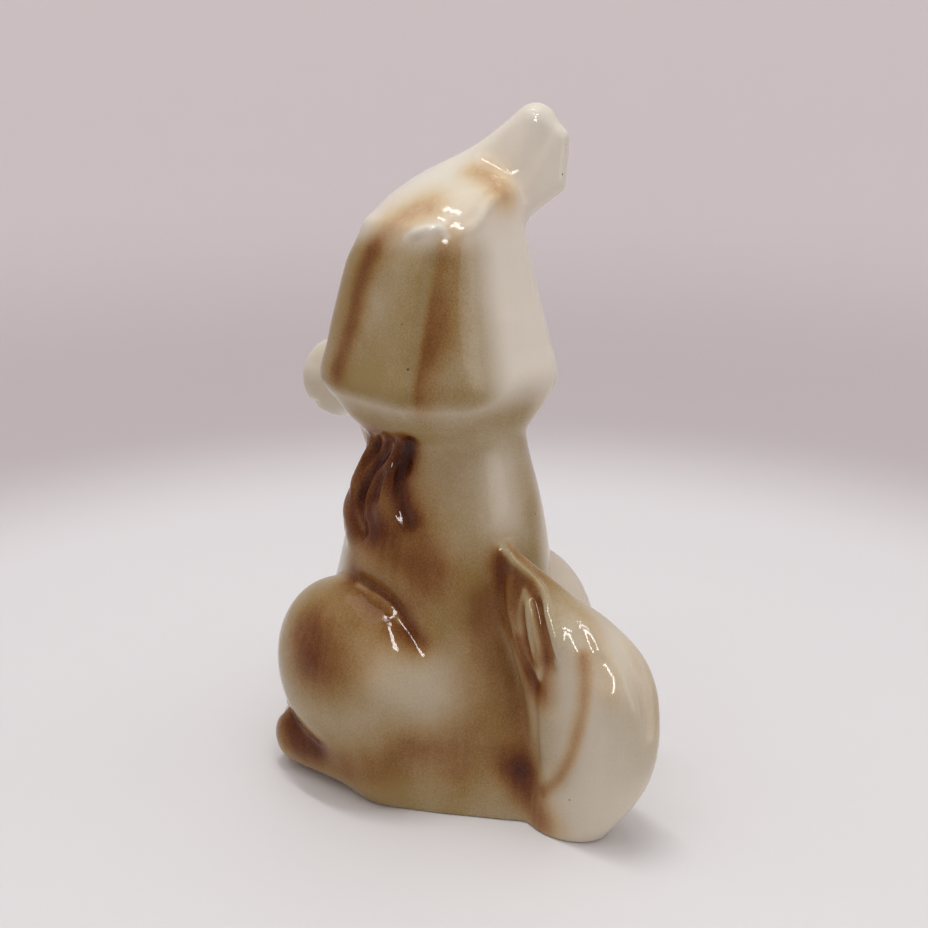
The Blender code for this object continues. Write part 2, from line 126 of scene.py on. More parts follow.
# Carving, in order: whether the right side has it too, a line, its width, its depth (a ridge if
# below 0) and the share of it that fades at each end
CARVED = [
    # The border of the tail's hollow, the leaf in it and the grooves beside the leaf
    (False, [(5.5, 20.6, 63.3), (5.7, 25.2, 60.8), (5.3, 30.8, 57.9), (6.6, 34.4, 55.5),
        (8.7, 37.2, 52.4), (9.9, 40.2, 48.5), (10.5, 41, 44.1)], 1.5, -0.9, 0.15),
    (False, [(8.4, 29.9, 55.8), (9.4, 31.5, 52.8), (10.1, 32.7, 49.2), (10.5, 34, 45.7),
        (10.6, 35.3, 42.4), (10.5, 36.3, 39.6)], 1.5, -1.0, 0.2),
    (False, [(9.1, 28.3, 54.1), (10, 29.3, 50.4), (10.3, 30.5, 45.5), (10.2, 32.4, 41),
        (10.2, 34.8, 36.1), (10, 35.8, 32.6)], 1.4, 1.4, 0.15),
    (False, [(7.6, 31.3, 56.4), (8.7, 34.4, 53.7), (9.9, 37, 49.9), (10.4, 38.2, 46.8),
        (10.6, 39.3, 43.5), (10.6, 38.9, 39.5)], 1.4, 1.5, 0.15),
    # The fold in front of them, and the crease down to the tail's foot
    (False, [(6.5, 23, 61.2), (8.7, 25.6, 55.5), (9.9, 27.6, 49.4), (9.9, 29.5, 42.8), (9.9, 32.5, 37.3),
        (9.9, 34.7, 33.3)], 1.6, -0.9, 0.2),
    (False, [(9, 23.5, 52.3), (9.4, 25.7, 46.7), (8.6, 27.4, 41), (9.1, 30.3, 36.7), (9.5, 33.1, 33.3),
        (9, 33.7, 28.2), (8.6, 33.7, 22.1), (8.5, 34.1, 17.6), (8.7, 35.8, 11.7)], 1.4, 0.9, 0.2),
    # The grooves between the plume's locks, and its crest
    (False, [(6.8, 47.2, 47.7), (8.9, 48.6, 43.1), (9.7, 48.7, 37.9), (9.9, 47.7, 30), (9.8, 45.1, 21.9),
        (9.5, 41.3, 15), (8.9, 37, 10.7)], 2.4, 1.8, 0.15),
    (False, [(3.9, 42.5, 51.7), (5.2, 44.7, 50.3), (6.4, 48.9, 46.5), (7.1, 51.5, 42.8),
        (7.3, 53.5, 38.7)], 2.6, 0.9, 0.3),
    (False, [(4.3, 20.3, 63.9), (2.8, 26, 60.4), (1.8, 31.6, 57.3), (1.6, 37.2, 54.4), (2.5, 42.4, 51.8),
        (3.8, 46.5, 49.2), (5.2, 50.4, 45.5)], 2.2, -0.7, 0.2),
    (False, [(-4.6, 40.9, 50.2), (-1.7, 48.7, 47.5), (-1.2, 55.1, 41.2), (-0.5, 58.8, 34),
        (0.2, 59.7, 27.2)], 2.8, 1.2, 0.25),
    (False, [(-10, 41, 50), (-10.5, 48, 42), (-10, 51, 32), (-9, 50, 20)], 2.6, 1.3, 0.2),
    # Between the locks below the head
    (True, [(17.4, 5.0, 90), (17.8, 2.6, 82.0), (19.5, 1.9, 77.6), (20.2, 2.2, 73.4), (20.3, 4.6, 69.3),
        (19.9, 7.6, 65.6)], 1.8, 1.5, 0.15),
    (True, [(15.5, -10.0, 87), (18.5, -13.5, 76.8), (19.3, -16.0, 68),
        (21.0, -12.5, 60.9)], 1.7, 1.4, 0.15),
    (True, [(17.3, -6.0, 87), (20.2, -7.6, 77.1), (22.0, -8.6, 68), (21.5, -6.5, 61)], 1.6, 1.3, 0.15),
    (True, [(17.5, -2.0, 88), (20.5, -3.2, 78.6), (22.0, -4.5, 70.5)], 1.5, 1.4, 0.15),
    # Behind the hanging ear
    (False, [(13.5, 9.0, 131.5), (15.6, 9.2, 124.6), (17.9, 9.6, 115.0), (20.5, 10.0, 104.2),
        (21.6, 10.0, 98.5)], 3.0, 1.2, 0.2),
    # Over the haunches
    (True, [(22.9, -11.5, 52.6), (24.2, -1.5, 52.2), (23.8, 3.6, 50.0), (23.4, 7.2, 46.6),
        (22.8, 10.2, 43.0), (21.2, 13.5, 38.6)], 2.0, 1.6, 0.25),
]


def stations(z, rows):
    """Smooth curves through the columns of rows, read at heights z."""
    table = np.float32(rows)
    heights = table[:, 0]
    z = np.clip(z, heights[0], heights[-1])
    i = np.clip(np.searchsorted(heights, z, side="right") - 1, 0, len(heights) - 2)
    span = heights[i + 1] - heights[i]
    t = (z - heights[i]) / span
    out = []
    for k in range(1, table.shape[1]):
        y = table[:, k]
        slope = np.gradient(y, heights)
        start = (2 * t ** 3 - 3 * t ** 2 + 1) * y[i] + (t ** 3 - 2 * t ** 2 + t) * span * slope[i]
        end = (3 * t ** 2 - 2 * t ** 3) * y[i + 1] + (t ** 3 - t ** 2) * span * slope[i + 1]
        out.append(start + end)
    return out


def column(p, rows):
    """An upright mass whose sections are rounded squares, as rows gives them."""
    centre, wide, deep, square = stations(p[..., 2], rows)
    x = np.maximum(np.abs(p[..., 0]) / wide, 1e-5)
    y = np.maximum(np.abs(p[..., 1] - centre) / deep, 1e-5)
    r = (x ** square + y ** square) ** (1 / square)
    return (r - 1) * np.minimum(wide, deep)


def length(v):
    return np.sqrt((v * v).sum(-1))


def ball(p, centre, radii, tip=0):
    """An ellipsoid, tipped back by so many degrees about the x direction."""
    q = p - np.float32(centre)
    c = np.float32(np.cos(np.radians(tip)))
    s = np.float32(np.sin(np.radians(tip)))
    q = np.stack([q[..., 0], c * q[..., 1] + s * q[..., 2], c * q[..., 2] - s * q[..., 1]], -1)
    r = np.float32(radii)
    near = length(q / r)
    return near * (near - 1) / np.maximum(length(q / (r * r)), 1e-6)


def rod(p, a, b, ra, rb):
    """A round rod that tapers from radius ra at a to rb at b."""
    a, b = np.float32(a), np.float32(b)
    ab = b - a
    t = np.clip(((p - a) @ ab) / (ab @ ab), 0, 1)
    return length(p - a - t[..., None] * ab) - (ra + (rb - ra) * t)


def slab(p, a, b, c, r):
    """A triangle from a to b to c, thickened and rounded by r."""
    a, b, c = np.float32(a), np.float32(b), np.float32(c)
    normal = np.cross(b - a, a - c)
    within = np.zeros(p.shape[:-1], np.float32)
    nearest = np.full(p.shape[:-1], 1e9, np.float32)
    for start, end in ((a, b), (b, c), (c, a)):
        side = end - start
        q = p - start
        within += np.sign(q @ np.cross(side, normal))
        t = np.clip(q @ side / (side @ side), 0, 1)
        nearest = np.minimum(nearest, ((t[..., None] * side - q) ** 2).sum(-1))
    flat = ((p - a) @ normal) ** 2 / (normal @ normal)
    return np.sqrt(np.where(within < 2, nearest, flat)) - r


def join(a, b, blend):
    """Both masses, with a fillet between them."""
    h = np.maximum(blend - np.abs(a - b), 0) / blend
    return np.minimum(a, b) - h ** 3 * blend / 6


def both(a, b, blend):
    """What is in both masses, with a rounded edge."""
    return -join(-a, -b, blend)


def cut(a, b, blend):
    """The first mass with the second scooped out of it."""
    return -join(-a, b, blend)


def ramp(x, a, b):
    """0 up to a and 1 from b on, smooth between."""
    t = np.clip((x - a) / (b - a), 0, 1)
    return t * t * (3 - 2 * t)


def curve(points, count=24):
    """A smooth line through points."""
    p = np.float32(points)
    p = np.concatenate([[2 * p[0] - p[1]], p, [2 * p[-1] - p[-2]]])
    spans = len(p) - 3
    out = []
    for i in range(spans):
        a, b, c, d = p[i:i + 4]
        for t in np.linspace(0, 1, max(2, count // spans), endpoint=False):
            quad = (2 * a - 5 * b + 4 * c - d) * t * t
            cubic = (3 * b - a - 3 * c + d) * t ** 3
            out.append(0.5 * (2 * b + (c - a) * t + quad + cubic))
    out.append(p[-2])
    return np.float32(out)


def along_line(q, points):
    """How far points lie from a smooth line, and how far along it their nearest spot is."""
    line = curve(points)
    steps = np.sqrt(((line[1:] - line[:-1]) ** 2).sum(-1))
    run = np.concatenate([[0], np.cumsum(steps)]) / steps.sum()
    best = np.full(len(q), 1e9, np.float32)
    along = np.zeros(len(q), np.float32)
    for i in range(len(line) - 1):
        ab = line[i + 1] - line[i]
        t = np.clip(((q - line[i]) @ ab) / (ab @ ab), 0, 1)
        d = length(q - line[i] - t[..., None] * ab)
        closer = d < best
        best = np.where(closer, d, best)
        along = np.where(closer, run[i] + (run[i + 1] - run[i]) * t, along)
    return best, along


def near_line(p, points, reach):
    """Which points lie within reach of a line's box."""
    line = np.float32(points)
    return ((p > line.min(0) - reach) & (p < line.max(0) + reach)).all(-1)


def furrow(p, points, width, depth, fade=0.15):
    """What a line carves: a furrow, or a ridge if depth is below 0, fading at its ends."""
    near = near_line(p, points, 3 * width + 1)
    best, along = along_line(p[near], points)
    strength = ramp(along, 0, fade) * ramp(1 - along, 0, fade)
    out = np.zeros(p.shape[:-1], np.float32)
    out[near] = depth * strength * np.exp(-(best / width) ** 2)
    return out


def lock(p, points, radii):
    """A smooth round lock of hair through points, as thick at each as radii say."""
    near = near_line(p, points, max(radii) + 8)
    best, along = along_line(p[near], points)
    ends = np.float32(points)
    run = ends[-1] - ends[0]
    at = (ends - ends[0]) @ run / (run @ run)
    thick = curve(np.stack([at, radii], 1))
    share = np.clip((p[near] - ends[0]) @ run / (run @ run), 0, 1)
    out = np.full(p.shape[:-1], 8.0, np.float32)
    out[near] = best - np.interp(share, thick[:, 0], thick[:, 1])
    return out


def two_sided(p):
    """Points folded onto the puppy's left side, for what both sides have."""
    return np.concatenate([np.abs(p[..., :1]), p[..., 1:]], -1)


def body(p, q):
    d = both(column(p, TORSO), p[..., 2] - 112, 2)
    d = join(d, ball(p, (0, 13, 6), (15, 23, 26)), 11)
    # The haunches stand off the flanks in front and run into the back, the right one further
    haunch = ball(q, (22.4, -11, 28.3), (14.4, 23.4, 22.9), 8)
    d = join(d, haunch, 2.5 + 10 * ramp(p[..., 1], -8, 14))
    d = join(d, ball(p, (-20.5, 7, 28), (13, 17, 24)), 6)
    foot = rod(q, (23, 0, 8), (25.5, -25.5, 7.8), 8, 8.3)
    d = join(d, foot, 2 + 8 * ramp(p[..., 1], -16, 0))
    leg = rod(q, (8.5, -14, 60), (10.5, -35, 8), 8.5, 7.5)
    return join(d, join(leg, ball(q, (10.5, -40, 6), (8.2, 9.5, 7.5)), 4), 4)


def neck_locks(q):
    """Locks of hair below the head, one behind the other."""
    front = [(13.4, -9.0, 89), (14.4, -8.8, 78), (15.0, -11.0, 65), (16.5, -9.5, 51)]
    rear = [(14.5, -1.5, 88), (16.0, -2.0, 78), (16.8, -1.8, 68), (18.4, 2.0, 58)]
    return join(lock(q, front, [2.6, 5.8, 8.1, 3.6]), lock(q, rear, [2.4, 5.0, 5.2, 2.2]), 2)


def tail(p):
    """An upright plume with a hollow on its left; the leaf-shaped lock in the hollow is carved in later."""
    lean = 4.4 * ramp(p[..., 2:], 40, 61) + 1.5 * (1 - ramp(p[..., 2:], 0, 14))
    d = column(np.concatenate([p[..., :1] - lean, p[..., 1:]], -1), PLUME)
    d = both(d, p[..., 2] - 63, 1)
    bed = [(6.0, 21.0, 62.0), (9.0, 25.5, 55.5), (10.5, 29.5, 49.5), (11.5, 34.0, 43.0),
        (12.0, 37.5, 36.0), (12.0, 39.0, 29.0)]
    return d + furrow(p, bed, 4.4, 1.7)


def head(p):
    sides = column(p, HEAD)
    crown = np.concatenate([p[..., :2], 112 + np.maximum(p[..., 2:] - 112, 0)], -1)
    d = both(sides, ball(crown, (-12, -4, 112.3), (36, 30, 32)), 4)
    d = both(d, 84 - p[..., 2], 3)
    # The left ear hangs flat on the side of the head, thinning out towards the crown
    thin = ramp(p[..., 2], EAR_LOWER_EDGE - 7, EAR_LOWER_EDGE + 1) * (1 - ramp(p[..., 2], 123, 132))
    ear = sides - EAR_THICKNESS * thin
    ear = both(ear, p[..., 1] - EAR_REAR_EDGE, 2)
    ear = both(ear, 7 - p[..., 0], 6)
    ear = both(ear, p[..., 2] - 134, 4)
    # The cheeks are set back from it, and the eyes are under a soft brow
    d = cut(d, ball(p, (19.0, -29, 106), (5.5, 8, 28)), 3)
    d = cut(d, ball(p, (-19.5, -30, 106), (5.5, 8, 28)), 5)
    d = cut(d, ball(two_sided(p), (8.5, -29, 111), (6.5, 7.5, 6.5)), 5)
    d = join(d, ear, 2)
    bridge = rod(p, (0, -14, 99), (0, -39.4, 91), 11, 10)
    throat = rod(p, (0, -26.5, 88), (0, -21.2, 76), 6.5, 6)
    snout = join(join(bridge, throat, 6), ball(p, (0, -47.9, 93), (3.7, 2.4, 2.6)), 1)
    return join(d, snout, 4)


def raised_ear(p):
    """The right ear: a sail that rises to the back, its rear edge folded down."""
    sail = slab(p, (-9.5, -13, 134.5), (-18.3, 6.8, 152.6), (-12.5, 3, 135.5), 4.8)
    fold = slab(p, (-20.4, 11.2, 149.6), (-19.4, 11.2, 140.4), (-13.0, 7.0, 135.0), 2.9)
    return join(sail, fold, 4)


def carving(p, q):
    """Furrows and ridges, those of the tail first, and the toes."""
    d = np.zeros(p.shape[:-1], np.float32)
    for mirrored, line, width, deep, fade in CARVED:
        d = d + furrow(q if mirrored else p, line, width, deep, fade)
    # Toes
    for x in (7.6, 13.2):
        d = d + furrow(q, [(x, -44.5, 12.5), (x, -49.0, 8.0), (x, -49.8, 3.0)], 1.3, 1.4, 0.3)
    for x, y in ((22.6, -33.5), (29.6, -32.5)):
        d = d + furrow(q, [(x, y + 4, 15.0), (x, y - 0.2, 11.5), (x, y - 1.4, 4.0)], 1.3, 1.4, 0.3)
    return d


# Fine carving on the left side alone, and on both: a line, its width and its depth in units
FINE_LEFT = [
    # The hollow's two furrows and the leaf between them
    ([(8.1, 27.4, 53.5), (8.7, 28.1, 49.7), (9.3, 29.5, 44.8), (9.3, 31.6, 40.4), (9, 33.8, 35.3),
        (9, 34.9, 31.9)], 1.2, 1.3),
    ([(7.4, 31.1, 56.3), (8, 33.8, 53.3), (9.1, 36.2, 49.4), (9.5, 37.4, 46.2), (9.5, 38.3, 42.8),
        (9.2, 36.8, 37.5)], 1.4, 1.6),
    ([(8.3, 29.8, 55), (9.5, 31.6, 51.8), (9.8, 32.6, 48.2), (9.6, 33.5, 44.7), (9.1, 34.3, 41.1),
        (8.9, 35, 38)], 1.3, -1.0),
    # Sharp edge of the hollow
    ([(5.6, 20.6, 63.3), (6.2, 24, 61.6), (5.9, 26.9, 60.2), (5.7, 29.9, 58.9), (5.9, 32.6, 57.5),
        (7.1, 34.8, 55.8), (8.5, 36.5, 53.7), (9.6, 38.5, 51.6), (10.4, 40.6, 48.8), (10.4, 41.2, 45.9),
        (9.8, 40.4, 43.6)], 1.2, -0.9),
    # The leaf's two edges and middle, the edge of the hollow again, narrower, and two strands in front
    ([(7.6, 29.1, 55.9), (8, 28.7, 53.6), (8.1, 28.6, 49.8), (8.4, 29.5, 45.8), (8.5, 31.4, 42),
        (8.7, 33.4, 39.2), (8.9, 34.9, 37.6)], 0.75, -1.5),
    ([(7.6, 29.1, 55.9), (8.6, 31.4, 54.3), (9.5, 33.4, 51.1), (9.7, 34.7, 47.9), (9.7, 35.8, 44.5),
        (9.5, 35.8, 41.3), (8.9, 34.9, 37.6)], 0.75, -1.5),
    ([(8.3, 30.2, 54.4), (10.1, 32.2, 52.1), (10.5, 33.3, 48.6), (10.5, 34.4, 45.1),
        (9.9, 35, 41.6)], 1.2, 1.0),
    ([(5.6, 20.6, 63.4), (6.3, 24.2, 61.7), (6.2, 27.2, 60.4), (6.1, 30.3, 59.1), (6.3, 32.9, 57.7),
        (7.4, 35.1, 56), (8.9, 36.9, 53.9), (10, 38.9, 51.8), (10.7, 40.8, 49), (10.6, 41.3, 46),
        (9.5, 40.2, 43.4)], 0.75, -1.1),
    ([(6.8, 22.7, 59.8), (7.6, 23.8, 54.6), (8.6, 25.8, 49.6), (9.2, 28.2, 44.5),
        (9.2, 30.7, 39.6)], 0.9, -0.5),
    ([(7, 22, 57.5), (8, 23.4, 52.3), (8.3, 24.9, 46.1), (7.6, 26.8, 39.9)], 0.9, 0.5),
    # Long soft locks down the outside of the plume, the first one sharp at its top
    ([(4, 39.4, 53.6), (4, 44.8, 50.6), (4.6, 48.1, 47.3), (4.9, 50.4, 44.7)], 1.2, -0.6),
    ([(-3.1, 45.3, 48.5), (-2, 50.7, 44.3), (-1.2, 55.2, 38.7), (0.7, 58.5, 31.3),
        (2.6, 58.9, 22.7)], 1.6, 0.45),
    ([(8.5, 52.4, 35.1), (7.9, 53.6, 25.9), (7.6, 51, 15.2)], 2.0, 0.4),
    # Where the back of the head meets the crown and the raised ear
    ([(16, 1.7, 130.8), (14.7, 5.1, 132.4), (12, 7.7, 132.8), (11.4, 9.1, 131.3)], 0.9, -0.9),
    ([(10.6, 10.2, 130.4), (8.5, 10.7, 131.7), (3.6, 11.2, 134), (0.2, 10.6, 136.9),
        (-7.3, 9.3, 140)], 1.0, -0.8),
]
FINE_BOTH = [
    # Strands in the locks below the head, and the furrows between them
    ([(18.1, -7.2, 86.2), (18.9, -9.2, 81.6), (20.5, -11.7, 75.6), (21.8, -10.8, 72.7),
        (21.9, -9.8, 69.6), (21.4, -8.3, 64.3)], 0.8, -1.3),
    ([(18, -4.7, 85.7), (17.6, -6.2, 82), (19.6, -8.6, 77.8), (21.1, -9.9, 74.5),
        (21.8, -10.1, 71.6)], 0.75, -1.0),
    ([(17.8, -1.4, 85), (19.2, -1.1, 82.1), (19.9, -4.8, 77.1), (21.1, -7, 71.4),
        (21.5, -7.1, 68.5)], 0.8, -1.2),
    ([(19.1, 0.1, 82), (20, -0.1, 79.9), (20.1, 0.2, 77.6), (20.8, 0.1, 73.8)], 0.9, -0.8),
    ([(17.8, -6.3, 85.7), (18.3, -7.8, 81.3), (20.4, -9.7, 76.8), (21.3, -11, 74.3)], 0.8, 0.6),
    ([(17.6, -3.3, 85.4), (18.5, -3.4, 82.1), (19.3, -7, 77.2), (20.8, -8.9, 72.6),
        (21.5, -9.1, 68.6)], 0.9, 1.0),
    ([(16.9, 3.3, 86.8), (16.7, 2.3, 85.3), (17, 1.6, 81.2), (18.8, 1.1, 77.2), (19.4, 1.5, 73.1),
        (19.3, 3.9, 69), (19.6, 6.9, 66.5)], 0.9, 0.9),
    # The haunch's upper edge
    ([(23.6, -7.7, 51.3), (23.9, -1.2, 50.3), (23.4, 2.8, 48.7), (23.3, 5.6, 46.2)], 0.9, -1.0),
    # Mouth and nostrils
    ([(0.0, -49.6, 90.6), (0.0, -49.0, 88.0), (0.0, -47.6, 85.4)], 0.8, 0.7),
    ([(0.0, -47.4, 85.2), (3.8, -45.5, 84.2), (7.2, -42.6, 84.9), (9.4, -37.0, 87.0)], 0.9, 0.8),
    ([(1.3, -50.1, 94.1), (2.2, -49.8, 93.7), (2.9, -49.2, 93.0)], 0.7, 0.7),
    # Upper lids
    ([(4.9, -23.4, 112.6), (8.2, -24.4, 115.6), (11.6, -22.6, 112.8)], 0.9, -0.6),
]


def fine_carving(p, q, depth):
    """Strands, sharp edges and the face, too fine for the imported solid."""
    d = np.zeros(p.shape[:-1], np.float32)
    for line, width, deep in FINE_LEFT:
        d += furrow(p, line, width, deep * depth, 0.3)
    for line, width, deep in FINE_BOTH:
        d += furrow(q, line, width, deep * depth, 0.3)
    return d


def form(p, depth):
    """How far points lie outside the figure, in units, with the fine carving at a share of its depth."""
    q = two_sided(p)
    d = join(body(p, q), neck_locks(q), 2)
    d = join(d, tail(p), 3)
    ear_blend = 11 - 7.5 * ramp(p[..., 1], -1, 7)
    upper = join(head(p), raised_ear(p), ear_blend)
    upper = join(upper, ball(q, EYE, EYE_RADII), 0.6)
    d = join(d, upper, 3)
    d = d + carving(p, q) + fine_carving(p, q, depth)
    # The foot is ground flat, its edge just rounded, with the vent hole in it
    d = both(d, -p[..., 2], 0.8)
    away = length(p[..., :2] - np.float32((0, VENT_BACK)))
    return cut(d, both(away - VENT_RADIUS, p[..., 2] - VENT_DEPTH, 0.5), 0.4)


def fill_pinches(values):
    """Make solid the grid points beside which solid parts would meet along one edge alone."""
    for _ in range(8):
        solid = values < 0
        pinched = np.zeros(values.shape, bool)
        for u, v in ((0, 1), (1, 2), (2, 0)):
            corners = []
            for i, j in ((0, 0), (0, 1), (1, 0), (1, 1)):
                window = [slice(None)] * 3
                window[u] = slice(i, values.shape[u] - 1 + i)
                window[v] = slice(j, values.shape[v] - 1 + j)
                corners.append(tuple(window))
            a, b, c, d = [solid[w] for w in corners]
            crossed = (a == d) & (b == c) & (a != b)
            for w in corners:
                pinched[w] |= crossed
        pinched &= ~solid
        if not pinched.any():
            break
        values[pinched] = -0.01


# How many points are worked out at a time
BATCH = 400000


def grid_values(low, shape, cell, depth):
    """The form's distance on a grid, worked out in full only near the surface."""
    block = 4
    blocks = tuple(n // block + 2 for n in shape)
    where = np.indices(blocks).reshape(3, -1).T.astype(np.float32)
    rough = form(np.float32(low) + where * cell * block, depth).reshape(blocks)
    values = rough.astype(np.float32)
    for axis in range(3):
        values = np.repeat(values, block, axis=axis)
    # Each rough value stands for the block of points around its own
    half = block // 2
    values = values[half:half + shape[0], half:half + shape[1], half:half + shape[2]].copy()
    near = np.argwhere(np.abs(values) < 2.2 * block * cell)
    for first in range(0, len(near), BATCH):
        some = near[first:first + BATCH]
        values[tuple(some.T)] = form(np.float32(low) + some.astype(np.float32) * cell, depth)
    return values


def skin(low, high, cell, depth):
    """Points and four-sided faces where the form's distance is zero, one point to a cell."""
    shape = tuple(int((high[k] - low[k]) / cell) + 2 for k in range(3))
    values = grid_values(low, shape, cell, depth)
    fill_pinches(values)
    total = np.zeros(tuple(n - 1 for n in shape) + (3,), np.float32)
    crossings = np.zeros(total.shape[:-1], np.int32)

    def corner_values(c):
        return values[tuple(slice(c[k], shape[k] - 1 + c[k]) for k in range(3))]

    for corner in np.ndindex(2, 2, 2):
        for axis in range(3):
            if corner[axis]:
                continue
            other = tuple(1 if k == axis else corner[k] for k in range(3))
            a, b = corner_values(corner), corner_values(other)
            crossed = (a < 0) != (b < 0)
            t = np.where(crossed, a / np.where(crossed, a - b, 1), 0)
            for k in range(3):
                total[..., k] += np.where(crossed, t if k == axis else corner[k], 0)
            crossings += crossed
    cells = np.argwhere(crossings > 0)
    number = np.full(crossings.shape, -1, np.int64)
    number[tuple(cells.T)] = np.arange(len(cells))
    mean = total[tuple(cells.T)] / crossings[tuple(cells.T)][:, None]
    points = (np.float32(low) + cell * (cells + mean)).astype(np.float32)
    inside = values < 0
    faces = []
    for axis in range(3):
        u, v = [(1, 2), (2, 0), (0, 1)][axis]
        near = [slice(1, -1)] * 3
        far = [slice(1, -1)] * 3
        near[axis] = slice(0, -1)
        far[axis] = slice(1, None)
        a, b = inside[tuple(near)], inside[tuple(far)]
        for solid_first in (True, False):
            base = np.argwhere((a != b) & (a == solid_first))
            for k in range(3):
                base[:, k] += k != axis
            ring = []
            for du, dv in ((0, 0), (-1, 0), (-1, -1), (0, -1)):
                c = base.copy()
                c[:, u] += du
                c[:, v] += dv
                ring.append(number[tuple(c.T)])
            ring = np.stack(ring, 1)
            faces.append(ring if solid_first else ring[:, ::-1])
    for _ in range(3):
        points = points - settle(points, cell, depth)
    return points, np.concatenate(faces)


def form_slope(points, depth):
    """The form's slope at points: it points straight out of the surface."""
    slope = np.empty_like(points)
    for k in range(3):
        step = np.zeros(3, np.float32)
        step[k] = 0.05
        slope[:, k] = (form(points + step, depth) - form(points - step, depth)) / 0.1
    return slope


def settle(points, cell, depth):
    """How far points must move back along the slope to lie on the surface."""
    slope = form_slope(points, depth)
    steepness = np.maximum((slope * slope).sum(-1), 1e-3)
    move = (form(points, depth) / steepness)[:, None] * slope
    return move * np.minimum(1, 0.4 * cell / np.maximum(length(move), 1e-6))[:, None]


# Airbrush: lines of passes as (points, radius, strength), on the left alone and on both sides

EAR_STRIPE = [(12, 9, 129.5), (13, 9, 125.5), (14.5, 9.5, 121), (16, 10, 114), (17.5, 9.5, 108),
    (19, 8.5, 103.5), (20, 8.5, 99.5)]
STAIN_LEFT = [
    # The hanging ear's front edge, over its top and onto the crown
    ([(17.5, -7.5, 127), (19, -9.5, 121), (21, -10.5, 113), (22, -12.5, 105.5),
        (23, -14, 100.5)], 3.3, 0.52),
    ([(15.5, -4, 132), (13, -0.5, 135), (10.5, 2, 136.5)], 4.6, 0.3),
    ([(11.5, -7, 136.5), (7.5, 0, 139), (5, 8, 137)], 7, 0.07),
    # Where the raised ear leaves the crown
    ([(-5.2, 3, 143.2), (-5.4, 6.9, 141.6), (-5.1, 10, 139.5)], 4.8, 0.34),
    # The tail's hollow, with the thickest stain in its folds
    ([(6.5, 23, 60.5), (7, 26, 57.5), (8.5, 29.5, 52.5), (9.5, 32.5, 46.5), (9.3, 34.5, 40.5),
        (9, 34.5, 34.5)], 4.6, 0.58),
    ([(7, 21, 61.5), (7.5, 22, 54), (8, 23.5, 47.5), (8.5, 27, 42), (9, 31, 37)], 1.9, 0.32),
    ([(9.3, 29.5, 44.8), (9.3, 31.6, 40.4), (9, 33.8, 35.3)], 1.8, 0.34),
    ([(6.5, 30.5, 58), (7.5, 33.5, 54.5), (9, 36.5, 49.5), (9.5, 38, 43.5)], 2.4, 0.34),
    ([(9, 31, 53.5), (10.3, 33.2, 48.5), (10, 34.5, 43)], 1.5, -0.25),
    ([(2.5, 30.5, 58.5), (2.5, 35, 56), (2.5, 39, 54)], 3, 0.1),
    # Two locks down the plume's left side
    ([(8, 46.5, 46.5), (8.5, 47.5, 39.5), (9, 47, 32), (8.5, 44, 21.5), (8, 40, 14),
        (9, 37, 10.5)], 1.7, 0.34),
    ([(2.5, 42.5, 52.5), (4, 47, 49), (6, 51, 43), (7, 53, 39.5)], 3.2, 0.15),
    ([(-3.5, 49.5, 45.5), (-2, 55.5, 38), (-1.5, 58, 32)], 3, 0.07),
    # Beside the tail, and round its foot
    ([(10.5, 19.5, 52), (9.5, 20.5, 44.5), (8.5, 22.5, 38.5), (7, 24.5, 32), (7, 27, 26), (7.5, 29.5, 21),
        (9.5, 30, 14.5)], 4.8, 0.34),
    ([(12.5, 27, 17), (10, 29.5, 13.5), (9.5, 30.5, 12)], 4.0, 0.2),
    ([(9.5, 30.5, 12), (9.5, 32.5, 7.5), (10.5, 36, 3)], 4.4, 0.55),
    ([(10, 38.5, 5.5), (9.5, 41.5, 4)], 4, 0.12),
]
